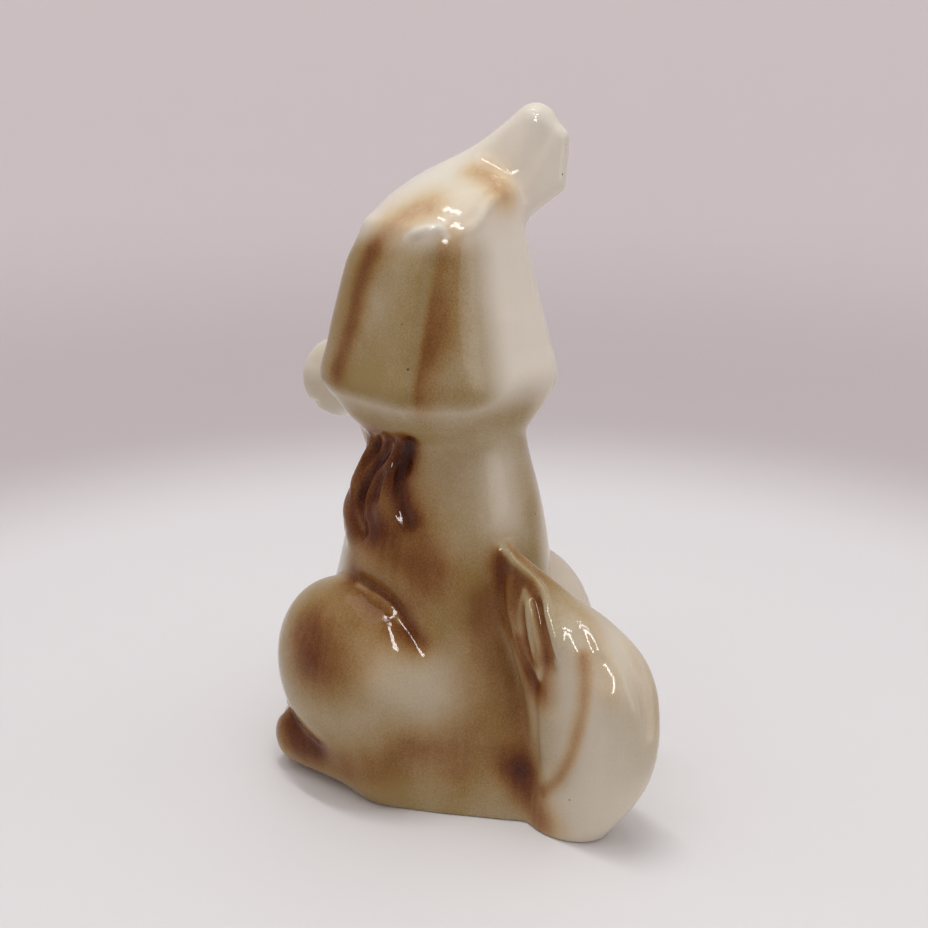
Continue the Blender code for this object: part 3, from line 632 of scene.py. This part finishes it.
STAIN_BOTH = [
    # Locks below the head, from maroon down to soft brown on the flank
    ([(18, -8, 82.5), (20, -9, 76), (22.5, -10, 69.5), (23, -10.5, 64.5)], 4.8, 0.72),
    ([(18, -3, 83.5), (20, -4, 78), (21, -5.5, 72), (22, -3, 66.5)], 4.6, 0.66),
    ([(17, 3, 87), (16.8, 1.8, 82.5), (18.6, 0.8, 77.4), (18.9, 2.8, 73.3), (18.9, 5.2, 69.3)], 2.8, 0.78),
    ([(18.5, -5.5, 82), (20.5, -7, 75), (22, -6, 68)], 7, 0.14),
    ([(22.5, 0.5, 63), (22, 5.5, 60.5), (20, 10.5, 57)], 7.5, 0.42),
    ([(17.5, 5, 78), (18.5, 9, 68), (18.5, 11, 61.5)], 6, 0.22),
    # Over the haunch and down its rear
    ([(23, -9.5, 53.5), (23, -3, 51.5), (22.5, 4, 49), (22.5, 7.5, 45), (21.8, 10.5, 42)], 3.8, 0.42),
    ([(25.5, -8.5, 50.5), (26, -0.5, 48.5), (25.5, 5, 45.5)], 6, 0.3),
    ([(35, -13.5, 39.5), (36, -11, 35.5)], 7.0, 0.82),
    ([(33.5, -5, 41.5), (34, -0.5, 37)], 8, 0.28),
    # Hind foot, along the base and over the rump
    ([(31.5, -23.5, 13), (32.5, -19.5, 10.5), (32.5, -15, 11)], 5.2, 0.85),
    ([(33.5, -23.5, 6), (32, -11.5, 5.5), (32, -4.5, 7.5)], 6, 0.1),
    ([(30, -33.5, 7), (24, -34.5, 8)], 5, 0.5),
    ([(32.5, -2, 10), (29.5, 5.5, 12.5), (23.5, 12.5, 16), (19.5, 16.5, 16.5)], 7, 0.32),
    ([(13, 19, 44), (14.5, 21, 32), (15, 21.5, 22), (17, 19, 12)], 7, 0.2),
    ([(26, 11, 19.5), (24, 12.5, 18)], 6, 0.16),
    # Front paws and the forelegs' outer sides
    ([(10.5, -46.5, 8), (11, -42, 13)], 6, 0.55),
    ([(17, -27, 24), (16, -24, 36)], 4, 0.28),
    # Brows and the muzzle's top
    ([(6, -22.5, 118.5), (9.5, -21.8, 118.8)], 2.2, 0.36),
    ([(0, -26, 108), (0, -20, 122)], 4, 0.16),
]
# Where the olive overspray was left off, the same way
WHITE_PLACES = [
    ([(0, -30, 92), (0, -46, 91)], 12, 1.0),
    ([(28.5, 6.5, 37), (22, 15, 31)], 8, 0.35),
    ([(2.5, 16.5, 79.5), (3.5, 19.5, 69)], 6, 0.5),
    ([(0, 45, 40), (0, 50, 20), (0, 46, 6)], 14, 0.93),
    ([(12, -30, 60), (8, -36, 20)], 12, 0.8),
    ([(-26, 0, 60), (-30, 0, 25)], 14, 0.6),
]
# The far side got this share of the passes on both sides
FAR_SIDE = 0.2
# Stain runs thin over ridges of at least this depth, which leaves them lighter: partly the glaze breaking on
# edges, partly painted highlights along them
SHARP_RIDGE = 0.85


def spray(p, line, radius, strength):
    """Stain that one pass along a line leaves: dense at its middle, soft at its sides."""
    away = along_line(p, line)[0]
    return strength * np.exp(-(away / radius) ** 2)


def stain_and_ridge_highlights(p):
    """Airbrushed brown at points, thinned on sharp ridges partly as painted highlights, from 0 for bare glaze
    to 1 for the darkest maroon.
    """
    q = two_sided(p)
    brown = np.zeros(len(p), np.float32)
    for line, radius, strength in STAIN_LEFT:
        brown += spray(p, line, radius, strength)
    for line, radius, strength in STAIN_BOTH:
        brown += spray(q, line, radius, strength) * (1 - (1 - FAR_SIDE) * ramp(-p[:, 0], 6, 18))
    # The stripe behind the hanging ear stops sharply at the ear's edge
    stripe = spray(p, EAR_STRIPE, 4.8, 0.47) * (1 - 0.4 * ramp(p[:, 2], 112, 128))
    brown += stripe * ramp(p[:, 1], EAR_REAR_EDGE - 0.5, EAR_REAR_EDGE + 1.5)
    # Stain runs thin over sharp ridges: partly glaze breaking on the edges, partly a painted highlight along
    # them
    for where, lines in ((p, FINE_LEFT), (q, FINE_BOTH)):
        for line, width, deep in lines:
            if deep < -SHARP_RIDGE:
                brown -= spray(where, line, 0.7, 0.45)
    # Passes over each other darken less and less, up to 1
    brown = np.maximum(brown, 0)
    return brown / (1 + brown ** 3) ** (1 / 3)


def overspray(p):
    """Thin olive tint at points: on the body and the hanging ear, but not where the glaze is white."""
    on_body = 0.9 * (1 - ramp(p[:, 2], 90, 102))
    on_ear = 0.95 * ramp(p[:, 0], -2, 12) * (1 - ramp(p[:, 2], 126, 134)) * ramp(p[:, 2], 90, 98)
    tint = np.maximum(on_body, on_ear)
    for line, radius, strength in WHITE_PLACES:
        tint *= 1 - spray(p, line, radius, strength)
    tint *= 1 - 0.7 * ramp(-p[:, 0], 4, 16)
    return np.clip(tint, 0, 1)


def black_paint(p):
    """1 on the eyes and the nose."""
    q = two_sided(p)
    eye = length((q - np.float32(EYE)) / np.float32((2.5, 4.0, 3.2)))
    nose = length((p - np.float32((0, -48.6, 93.2))) / np.float32((4.3, 3.2, 3.1)))
    return np.maximum(1 - ramp(eye, 0.92, 1.0), 1 - ramp(nose, 0.94, 1.02))


# How many times the skin is smoothed to find its furrows
SMOOTHING_ROUNDS = 12


def hollowness(points, faces):
    """How far each point lies below the mean of those around it, in units: above 0 in furrows."""
    edges = np.concatenate([faces[:, (0, 1)], faces[:, (1, 2)], faces[:, (2, 3)], faces[:, (3, 0)]])
    edges = np.concatenate([edges, edges[:, ::-1]])
    count = np.bincount(edges[:, 0], minlength=len(points))[:, None]
    normal = form_slope(points, 1.0)
    normal /= np.maximum(length(normal), 1e-6)[:, None]
    smooth = points
    for _ in range(SMOOTHING_ROUNDS):
        total = np.zeros_like(points)
        for k in range(3):
            total[:, k] = np.bincount(edges[:, 0], smooth[edges[:, 1], k], minlength=len(points))
        smooth = total / count
    return ((smooth - points) * normal).sum(-1)


# Materials


def add(tree, kind, label, x, y, **values):
    """A labelled node in its place. Values are set on sockets, _ standing for a space."""
    node = tree.nodes.new(kind)
    node.label = label
    node.location = (x, y)
    for name, value in values.items():
        node.inputs[name.replace("_", " ")].default_value = value
    return node


def feed(tree, socket, value):
    """Link value to socket if it is a socket itself, and set it there if it is plain."""
    if isinstance(value, bpy.types.NodeSocket):
        tree.links.new(value, socket)
    else:
        socket.default_value = value


def calculate(tree, operation, values, label, x, y):
    node = add(tree, "ShaderNodeMath", label, x, y)
    node.operation = operation
    for socket, value in zip(node.inputs, values):
        feed(tree, socket, value)
    return node.outputs[0]


def mix(tree, factor, a, b, label, x, y):
    """A mix of two colours."""
    node = add(tree, "ShaderNodeMix", label, x, y)
    node.data_type = "RGBA"
    feed(tree, node.inputs[0], factor)
    feed(tree, node.inputs[6], a)
    feed(tree, node.inputs[7], b)
    return node.outputs[2]


def noise(tree, vector, scale, detail, label, x, y):
    node = add(tree, "ShaderNodeTexNoise", label, x, y, Scale=scale, Detail=detail)
    tree.links.new(vector, node.inputs["Vector"])
    return node.outputs["Fac"]


def specks_group():
    """Fine iron specks, which both the glaze and the bare clay have."""
    group = bpy.data.node_groups.new("iron_specks", "ShaderNodeTree")
    sockets = group.interface
    sockets.new_socket("Vector", in_out="INPUT", socket_type="NodeSocketVector")
    for name, value in (("Spacing", 300.0), ("Size", 0.12), ("Share", 0.2)):
        socket = sockets.new_socket(name, in_out="INPUT", socket_type="NodeSocketFloat")
        socket.default_value = value
    sockets.new_socket("Mask", in_out="OUTPUT", socket_type="NodeSocketFloat")
    given = add(group, "NodeGroupInput", "", -700, 0)
    cells = add(group, "ShaderNodeTexVoronoi", "one place to a cell", -480, 0)
    group.links.new(given.outputs["Vector"], cells.inputs["Vector"])
    group.links.new(given.outputs["Spacing"], cells.inputs["Scale"])
    chance = add(group, "ShaderNodeSeparateColor", "chance in each cell", -280, -160)
    group.links.new(cells.outputs["Color"], chance.inputs["Color"])
    sized = (chance.outputs["Red"], given.outputs["Size"])
    reach = calculate(group, "MULTIPLY", sized, "speck's size", -80, -100)
    inside = calculate(group, "LESS_THAN", (cells.outputs["Distance"], reach), "inside it", 100, 0)
    few = (chance.outputs["Green"], given.outputs["Share"])
    there = calculate(group, "LESS_THAN", few, "in few cells", 100, -160)
    mask = calculate(group, "MULTIPLY", (inside, there), "", 280, 0)
    out = add(group, "NodeGroupOutput", "", 460, 0)
    group.links.new(mask, out.inputs["Mask"])
    return group


def place_specks(tree, group, vector, spacing, size, share, x, y):
    node = add(tree, "ShaderNodeGroup", "specks", x, y)
    node.node_tree = group
    tree.links.new(vector, node.inputs["Vector"])
    node.inputs["Spacing"].default_value = spacing
    node.inputs["Size"].default_value = size
    node.inputs["Share"].default_value = share
    return node.outputs["Mask"]


def new_material(name):
    material = bpy.data.materials.new(name)
    material.use_nodes = True
    tree = material.node_tree
    shader = tree.nodes["Principled BSDF"]
    shader.location = (1100, 0)
    tree.nodes["Material Output"].location = (1400, 0)
    where = add(tree, "ShaderNodeTexCoord", "", -1500, 0).outputs["Object"]
    return material, tree, shader, where


def glaze_material(settings, specks):
    """Clear gloss glaze over cream slip, with brown airbrushed under it."""
    material, tree, shader, where = new_material("airbrushed_glaze")

    def read(name, y):
        node = add(tree, "ShaderNodeAttribute", name, -1500, y)
        node.attribute_name = name
        return node.outputs["Fac"]

    # The airbrush leaves a mottle of fine drops, cloudy patches and faint upright streaks
    drops = noise(tree, where, 2400.0, 1.0, "airbrush drops", -1250, 300)
    cloud = noise(tree, where, 60.0, 3.0, "uneven passes", -1250, 100)
    upright = add(tree, "ShaderNodeMapping", "upright", -1450, -200)
    upright.inputs["Scale"].default_value = (1.0, 1.0, 0.1)
    tree.links.new(where, upright.inputs["Vector"])
    streaks = noise(tree, upright.outputs["Vector"], 520.0, 2.0, "streaks", -1250, -200)
    uneven = calculate(tree, "MULTIPLY_ADD", (drops, 0.36, 0.82), "drops", -1000, 300)
    patchy = calculate(tree, "MULTIPLY_ADD", (cloud, 0.7, 0.65), "patches", -1000, 100)
    brushed = calculate(tree, "MULTIPLY_ADD", (streaks, 0.36, 0.82), "streaks", -1000, -200)
    # The stain read here is thinner on sharp ridges, partly as painted highlights
    density = calculate(tree, "MULTIPLY", (read("stain_and_ridge_highlights", -450), uneven), "", -800, 200)
    density = calculate(tree, "MULTIPLY", (density, patchy), "", -640, 200)
    density = calculate(tree, "MULTIPLY", (density, brushed), "", -480, 200)
    pooled = calculate(tree, "MULTIPLY", (read("furrow", -650), density), "stain pools in furrows", -320, 60)
    density = calculate(tree, "MULTIPLY_ADD", (pooled, settings.pooling, density), "", -160, 200)
    thickness = add(tree, "ShaderNodeValToRGB", "thin to thick stain", 0, 240)
    tree.links.new(density, thickness.inputs["Fac"])
    ramp_stops = thickness.color_ramp.elements
    ramp_stops[0].position = 0.0
    ramp_stops[0].color = (1.0, 1.0, 1.0, 1.0)
    ramp_stops[1].position = 1.0
    ramp_stops[1].color = tuple(settings.maroon)
    for place, color in ((0.22, settings.tan), (0.45, settings.brown), (0.7, settings.red_brown)):
        stop = ramp_stops.new(place)
        stop.color = tuple(color)
    olive_mottle = calculate(tree, "MULTIPLY", (read("overspray", -850), patchy), "", -640, -300)
    olive_mottle = calculate(tree, "MULTIPLY", (olive_mottle, uneven), "", -480, -300)
    slip = mix(tree, olive_mottle, tuple(settings.cream), tuple(settings.olive), "slip", 0, -100)
    stained = add(tree, "ShaderNodeMix", "stain over slip", 320, 100)
    stained.data_type = "RGBA"
    stained.blend_type = "MULTIPLY"
    stained.inputs[0].default_value = 1.0
    tree.links.new(slip, stained.inputs[6])
    tree.links.new(thickness.outputs["Color"], stained.inputs[7])
    fleck = place_specks(tree, specks, where, 420.0, 0.13, 0.035, 320, -150)
    faint = calculate(tree, "MULTIPLY", (fleck, 0.75), "", 480, -150)
    flecked = mix(tree, faint, stained.outputs[2], (0.05, 0.03, 0.02, 1.0), "specks", 620, 100)
    painted = mix(tree, read("black_paint", -1050), flecked, tuple(settings.black), "eyes and nose", 800, 100)
    tree.links.new(painted, shader.inputs["Base Color"])
    # The glaze is glossy, and its gloss varies a little in clouds
    cloudy = noise(tree, where, 140.0, 2.0, "gloss varies", 320, -400)
    gloss = calculate(tree, "MULTIPLY_ADD", (cloudy, 0.10, settings.roughness), "roughness", 620, -400)
    tree.links.new(gloss, shader.inputs["Roughness"])
    shader.inputs["IOR"].default_value = 1.5
    shader.inputs["Specular IOR Level"].default_value = 0.2
    # Orange peel and pinholes
    peel = noise(tree, where, 900.0, 1.0, "orange peel", 320, -600)
    sag = noise(tree, where, 110.0, 1.0, "glaze runs unevenly", 320, -800)
    height = calculate(tree, "MULTIPLY_ADD", (sag, 4.0, peel), "", 520, -650)
    height = calculate(tree, "MULTIPLY_ADD", (fleck, -0.6, height), "pinholes", 680, -650)
    bump = add(tree, "ShaderNodeBump", "", 860, -600, Strength=0.5, Distance=settings.peel_depth)
    tree.links.new(height, bump.inputs["Height"])
    tree.links.new(bump.outputs["Normal"], shader.inputs["Normal"])
    return material


def clay_material(settings, specks):
    """Bare buff clay of the foot, wiped clean of glaze."""
    material, tree, shader, where = new_material("bare_clay")
    grain = noise(tree, where, 1800.0, 4.0, "clay grain", -1000, 200)
    smear = noise(tree, where, 90.0, 3.0, "smears of slip", -1000, -50)
    dark_clay = tuple(c * 0.72 for c in settings.clay[:3]) + (1.0,)
    body = mix(tree, grain, tuple(settings.clay), dark_clay, "grain", -600, 200)
    smeared = calculate(tree, "MULTIPLY_ADD", (smear, 1.6, -0.55), "", -800, -50)
    body = mix(tree, smeared, body, tuple(settings.cream), "smears", -400, 100)
    fleck = place_specks(tree, specks, where, 520.0, 0.34, 0.3, -400, -200)
    body = mix(tree, fleck, body, (0.10, 0.06, 0.04, 1.0), "specks", 0, 100)
    tree.links.new(body, shader.inputs["Base Color"])
    dull = calculate(tree, "MULTIPLY_ADD", (grain, 0.2, 0.68), "dull", 0, -200)
    tree.links.new(dull, shader.inputs["Roughness"])
    bump = add(tree, "ShaderNodeBump", "", 300, -400, Strength=0.6, Distance=0.0001)
    tree.links.new(grain, bump.inputs["Height"])
    tree.links.new(bump.outputs["Normal"], shader.inputs["Normal"])
    return material


def plain_material(name, color, roughness):
    material = bpy.data.materials.new(name)
    material.use_nodes = True
    shader = material.node_tree.nodes["Principled BSDF"]
    shader.inputs["Base Color"].default_value = color
    shader.inputs["Roughness"].default_value = roughness
    return material


# Settings


class PuppyCastSettings(bpy.types.PropertyGroup):
    height: FloatProperty(
        name="Height", description="Height of the figurine, from the packed solid",
        default=CAD_HIGH[2] - CAD_LOW[2], min=0.02, unit="LENGTH", subtype="DISTANCE",
    )
    skin_cell: FloatProperty(
        name="Skin cell", description="Spacing of the skin's points",
        default=0.00072, min=0.0004, unit="LENGTH", subtype="DISTANCE",
    )
    quick_cell: FloatProperty(
        name="Quick skin cell", description="Spacing of the skin's points in a quick look",
        default=0.0012, min=0.0004, unit="LENGTH", subtype="DISTANCE",
    )
    hair_depth: FloatProperty(
        name="Hair depth", description="Depth of the fine carving, as a share of its drawn depth",
        default=1.0, min=0.0, max=2.0, subtype="FACTOR",
    )


class PuppyGlazeSettings(bpy.types.PropertyGroup):
    cream: FloatVectorProperty(
        name="Cream", description="Slip under clear glaze",
        default=(0.78, 0.73, 0.62, 1.0), size=4, min=0.0, max=1.0, subtype="COLOR",
    )
    olive: FloatVectorProperty(
        name="Olive", description="Slip under thin overspray",
        default=(0.32, 0.225, 0.085, 1.0), size=4, min=0.0, max=1.0, subtype="COLOR",
    )
    tan: FloatVectorProperty(
        name="Tan", description="Tint of the thinnest stain",
        default=(0.86, 0.71, 0.53, 1.0), size=4, min=0.0, max=1.0, subtype="COLOR",
    )
    brown: FloatVectorProperty(
        name="Brown", description="Tint of middling stain",
        default=(0.62, 0.37, 0.20, 1.0), size=4, min=0.0, max=1.0, subtype="COLOR",
    )
    red_brown: FloatVectorProperty(
        name="Red brown", description="Tint of thick stain",
        default=(0.35, 0.13, 0.05, 1.0), size=4, min=0.0, max=1.0, subtype="COLOR",
    )
    maroon: FloatVectorProperty(
        name="Maroon", description="Tint of the thickest stain",
        default=(0.12, 0.03, 0.012, 1.0), size=4, min=0.0, max=1.0, subtype="COLOR",
    )
    black: FloatVectorProperty(
        name="Black", description="Paint on the eyes and nose",
        default=(0.012, 0.009, 0.008, 1.0), size=4, min=0.0, max=1.0, subtype="COLOR",
    )
    clay: FloatVectorProperty(
        name="Clay", description="Bare clay of the foot",
        default=(0.62, 0.50, 0.38, 1.0), size=4, min=0.0, max=1.0, subtype="COLOR",
    )
    pooling: FloatProperty(
        name="Pooling", description="How much darker stain is in the furrows",
        default=0.2, min=0.0, max=4.0,
    )
    roughness: FloatProperty(
        name="Roughness", description="Roughness of the glossiest glaze",
        default=0.05, min=0.0, max=1.0, subtype="FACTOR",
    )
    peel_depth: FloatProperty(
        name="Orange peel", description="Depth of the glaze's unevenness",
        default=0.00006, min=0.0, unit="LENGTH", subtype="DISTANCE",
    )


class PuppyStageSettings(bpy.types.PropertyGroup):
    floor: FloatVectorProperty(
        name="Floor", description="Colour of the floor near the figurine",
        default=(0.80, 0.785, 0.79, 1.0), size=4, min=0.0, max=1.0, subtype="COLOR",
    )
    # Painted shade: the floor darkens to this colour a little way out from the figurine
    backdrop: FloatVectorProperty(
        name="Backdrop", description="Colour of the stage just beyond the floor",
        default=(0.57, 0.51, 0.52, 1.0), size=4, min=0.0, max=1.0, subtype="COLOR",
    )
    # Painted light: the stage is lightened again farthest out, making up for the lamps' falloff
    far_backdrop_lightened: FloatVectorProperty(
        name="Far backdrop", description="Colour of the stage farthest out",
        default=(0.84, 0.76, 0.77, 1.0), size=4, min=0.0, max=1.0, subtype="COLOR",
    )
    stage_radius: FloatProperty(
        name="Stage radius", description="Distance from the figurine to the foot of the backdrop",
        default=0.85, min=0.3, unit="LENGTH", subtype="DISTANCE",
    )
    window_power: FloatProperty(
        name="Window", description="Power of the tall light behind on the right",
        default=0.4, min=0.0, unit="POWER",
    )
    panel_radiance: FloatProperty(
        name="Panels", description="Brightness of the panels that the glaze mirrors",
        default=38.0, min=0.0,
    )
    strip_power: FloatProperty(
        name="Strip", description="Power of the narrow strip light overhead",
        default=1.2, min=0.0, unit="POWER",
    )
    ceiling_power: FloatProperty(
        name="Ceiling", description="Power of the broad light high overhead",
        default=8.4, min=0.0, unit="POWER",
    )
    fill_power: FloatProperty(
        name="Fill", description="Power of the broad fill at the side",
        default=1.75, min=0.0, unit="POWER",
    )
    ambient: FloatProperty(
        name="Ambient", description="Strength of the soft light from all round",
        default=0.32, min=0.0,
    )


# Operators


class PUPPY_OT_cast(bpy.types.Operator):
    """Cast the puppy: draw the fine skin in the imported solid's place"""

    bl_idname = "puppy.cast"
    bl_label = "Cast the puppy"

    def execute(self, context):
        settings = context.scene.puppy_cast
        unit = settings.height / FORM_HEIGHT
        cell = settings.skin_cell / unit
        points, faces = skin(FORM_LOW, FORM_HIGH, cell, settings.hair_depth)
        if not len(faces):
            raise RuntimeError("the form left no skin")
        low, high = points.min(0), points.max(0)
        scale = settings.height / float(high[2])
        for k in (0, 1):
            scale = min(scale, (CAD_HIGH[k] - CAD_LOW[k]) / float(high[k] - low[k]))
        middle = np.float32(((low[0] + high[0]) / 2, (low[1] + high[1]) / 2, 0))
        centre = np.float32(((CAD_LOW[0] + CAD_HIGH[0]) / 2, (CAD_LOW[1] + CAD_HIGH[1]) / 2, CAD_LOW[2]))
        placed = (points - middle) * scale + centre
        # The foot's points lie exactly on the floor
        placed[:, 2] = np.where(placed[:, 2] < CAD_LOW[2] + 0.00003, CAD_LOW[2], placed[:, 2])
        mesh = bpy.data.meshes.new("glazed_puppy")
        mesh.from_pydata(placed.tolist(), [], faces.tolist())
        for name, values in (
            ("stain_and_ridge_highlights", stain_and_ridge_highlights(points)),
            ("overspray", overspray(points)),
            ("black_paint", black_paint(points)),
            ("furrow", np.clip(hollowness(points, faces) * 2, 0, 1)),
        ):
            layer = mesh.attributes.new(name, "FLOAT", "POINT")
            layer.data.foreach_set("value", np.ascontiguousarray(values, dtype=np.float32))
        mesh.shade_smooth()
        mesh.validate()
        puppy = bpy.data.objects.new("glazed_puppy", mesh)
        context.scene.collection.objects.link(puppy)
        puppy["middle"] = [float(v) for v in middle - centre / scale]
        puppy["scale"] = scale
        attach(puppy, "root")
        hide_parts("puppy")
        return {"FINISHED"}


class PUPPY_OT_glaze(bpy.types.Operator):
    """Airbrush and glaze the puppy, and leave its foot bare"""

    bl_idname = "puppy.glaze"
    bl_label = "Airbrush and glaze"

    def execute(self, context):
        puppy = bpy.data.objects.get("glazed_puppy")
        if puppy is None:
            raise RuntimeError("cast the puppy first")
        settings = context.scene.puppy_glaze
        specks = specks_group()
        mesh = puppy.data
        mesh.materials.append(glaze_material(settings, specks))
        mesh.materials.append(clay_material(settings, specks))
        places = np.empty(len(mesh.vertices) * 3, np.float32)
        mesh.vertices.foreach_get("co", places)
        height = places.reshape(-1, 3)[:, 2]
        corners = np.empty(len(mesh.loops), np.int32)
        mesh.loops.foreach_get("vertex_index", corners)
        # A face is bare clay where its corners are all within a fifth of a millimetre of the floor
        highest = height[corners].reshape(-1, 4).max(1)
        bare = (highest < CAD_LOW[2] + 0.0002).astype(np.int32)
        mesh.polygons.foreach_set("material_index", bare)
        return {"FINISHED"}


class PUPPY_OT_stage(bpy.types.Operator):
    """Set the floor, the lights and the camera"""

    bl_idname = "puppy.stage"
    bl_label = "Set the stage"

    def execute(self, context):
        puppy = bpy.data.objects.get("glazed_puppy")
        if puppy is None:
            raise RuntimeError("cast the puppy first")
        settings = context.scene.puppy_stage
        round_floor(settings)
        middle, scale = Vector(puppy["middle"]), puppy["scale"]
        place_camera(middle, scale)
        aim = Vector((0, 0, 0.07))
        softbox(context, "overhead_strip", (0.04, 0.0, 0.75), aim, 0.30, 0.03, settings.strip_power)
        # The panels are seen only as reflections in the glaze
        for name, where, width, height, share in (
            ("camera_panel", (0.37, 0.37, 0.54), 0.10, 0.34, 1.0),
            ("crown_panel", (0.22, 0.22, 0.70), 0.32, 0.06, 1.0),
            ("side_panel", (-0.25, 0.72, 0.30), 0.4, 0.5, 0.05),
        ):
            power = share * settings.panel_radiance * np.pi * width * height
            panel = softbox(context, name, where, aim, width, height, power)
            panel.visible_diffuse = False
        softbox(context, "rear_window", (-0.25, 1.0, 0.35), aim, 0.5, 0.8, settings.window_power)
        softbox(context, "ceiling_light", (0.15, -0.1, 1.5), aim, 1.3, 1.3, settings.ceiling_power)
        softbox(context, "side_fill", (-0.9, 0.75, 0.7), aim, 0.8, 0.8, settings.fill_power)
        world = bpy.data.worlds.new("studio")
        world.use_nodes = True
        sky = world.node_tree.nodes["Background"]
        sky.inputs["Color"].default_value = (0.97, 1.0, 1.0, 1.0)
        sky.inputs["Strength"].default_value = settings.ambient
        context.scene.world = world
        context.scene.view_settings.view_transform = "Standard"
        return {"FINISHED"}


def round_floor(settings):
    """A round floor that turns up into a low backdrop on all sides, its colour painted in rings of light and
    shade.
    """
    radius = settings.stage_radius
    profile = [(0.0, 0.0), (radius * 0.5, 0.0), (radius, 0.0)]
    for step in range(1, 9):
        turn = np.radians(step * 10)
        profile.append((radius + 0.4 * np.sin(turn), 0.4 * (1 - np.cos(turn))))
    profile.append((radius + 0.5, 1.2))
    bm = bmesh.new()
    verts = [bm.verts.new((r, 0, z - 0.00002)) for r, z in profile]
    edges = [bm.edges.new(pair) for pair in zip(verts, verts[1:])]
    around = {"cent": (0, 0, 0), "axis": (0, 0, 1), "angle": 2 * np.pi, "steps": 96}
    bmesh.ops.spin(bm, geom=verts + edges, use_merge=True, **around)
    bmesh.ops.remove_doubles(bm, verts=bm.verts[:], dist=0.00001)
    bmesh.ops.recalc_face_normals(bm, faces=bm.faces[:])
    mesh = bpy.data.meshes.new("stage_floor")
    bm.to_mesh(mesh)
    bm.free()
    mesh.shade_smooth()
    material = plain_material("pale_floor", tuple(settings.floor), 0.55)
    tree = material.node_tree
    shader = tree.nodes["Principled BSDF"]
    where = add(tree, "ShaderNodeTexCoord", "", -900, 0)
    away = add(tree, "ShaderNodeVectorMath", "distance from the figurine", -700, 0)
    away.operation = "LENGTH"
    tree.links.new(where.outputs["Object"], away.inputs[0])
    # The colour goes by distance: the darker ring a little way out is painted shade, and the lighter rim far
    # out is painted light against the lamps' falloff
    ring = add(tree, "ShaderNodeValToRGB", "floor to backdrop", -500, 0)
    tree.links.new(away.outputs["Value"], ring.inputs["Fac"])
    stops = ring.color_ramp.elements
    ring.color_ramp.interpolation = "EASE"
    stops[0].position, stops[0].color = 0.20, tuple(settings.floor)
    stops[1].position, stops[1].color = 1.0, tuple(settings.far_backdrop_lightened)
    middle = stops.new(0.33)
    middle.color = tuple(settings.backdrop)
    color = ring.outputs["Color"]
    tree.links.new(color, shader.inputs["Base Color"])
    mesh.materials.append(material)
    floor = bpy.data.objects.new("stage_floor", mesh)
    bpy.context.scene.collection.objects.link(floor)
    return floor


# The focal length fitted to the photo, and the photo's width, in pixels
FOCAL_PIXELS = 1360.0
PHOTO_WIDTH = 928.0


def place_camera(middle, scale):
    """Behind the puppy's left side, looking down at it. The place is in the form's units."""
    data = bpy.data.cameras.new("camera")
    data.sensor_width = 36.0
    data.lens = data.sensor_width * FOCAL_PIXELS / PHOTO_WIDTH
    data.clip_start = 0.01
    data.clip_end = 20.0
    camera = bpy.data.objects.new("camera", data)
    bpy.context.scene.collection.objects.link(camera)
    eye = Vector((210.72, 213.55, 172.0))
    forward = Vector((-0.674, -0.674, -0.3025)).normalized()
    right = Vector((-0.70711, 0.70711, 0.0))
    up = right.cross(forward)
    turn = Matrix((right, up, -forward)).transposed().to_4x4()
    camera.matrix_world = Matrix.Translation((eye - middle) * scale) @ turn
    bpy.context.scene.camera = camera


def softbox(context, name, place, aim, wide, deep, power):
    """A rectangular area light at place, turned to aim."""
    data = bpy.data.lights.new(name, "AREA")
    data.shape = "RECTANGLE"
    data.size = wide
    data.size_y = deep
    data.energy = power
    light = bpy.data.objects.new(name, data)
    light.location = place
    light.rotation_euler = (aim - Vector(place)).to_track_quat("-Z", "Y").to_euler()
    context.scene.collection.objects.link(light)
    return light


# Panel


class PUPPY_PT_panel(bpy.types.Panel):
    """Buttons and settings for the pottery puppy"""

    bl_idname = "PUPPY_PT_panel"
    bl_label = "Pottery puppy"
    bl_space_type = "VIEW_3D"
    bl_region_type = "UI"
    bl_category = "Puppy"

    def draw(self, context):
        groups = (
            (context.scene.puppy_cast, PUPPY_OT_cast),
            (context.scene.puppy_glaze, PUPPY_OT_glaze),
            (context.scene.puppy_stage, PUPPY_OT_stage),
        )
        for settings, operator in groups:
            box = self.layout.box()
            for name in settings.bl_rna.properties.keys():
                if name not in ("name", "rna_type"):
                    box.prop(settings, name)
            box.operator(operator.bl_idname)


CLASSES = (
    PuppyCastSettings,
    PuppyGlazeSettings,
    PuppyStageSettings,
    PUPPY_OT_cast,
    PUPPY_OT_glaze,
    PUPPY_OT_stage,
    PUPPY_PT_panel,
)


def register():
    for cls in CLASSES:
        bpy.utils.register_class(cls)
    bpy.types.Scene.puppy_cast = PointerProperty(type=PuppyCastSettings)
    bpy.types.Scene.puppy_glaze = PointerProperty(type=PuppyGlazeSettings)
    bpy.types.Scene.puppy_stage = PointerProperty(type=PuppyStageSettings)


def unregister():
    del bpy.types.Scene.puppy_stage
    del bpy.types.Scene.puppy_glaze
    del bpy.types.Scene.puppy_cast
    for cls in reversed(CLASSES):
        bpy.utils.unregister_class(cls)


def main():
    register()
    bpy.ops.puppy.cast()
    bpy.ops.puppy.glaze()
    bpy.ops.puppy.stage()


if __name__ == "__main__":
    main()
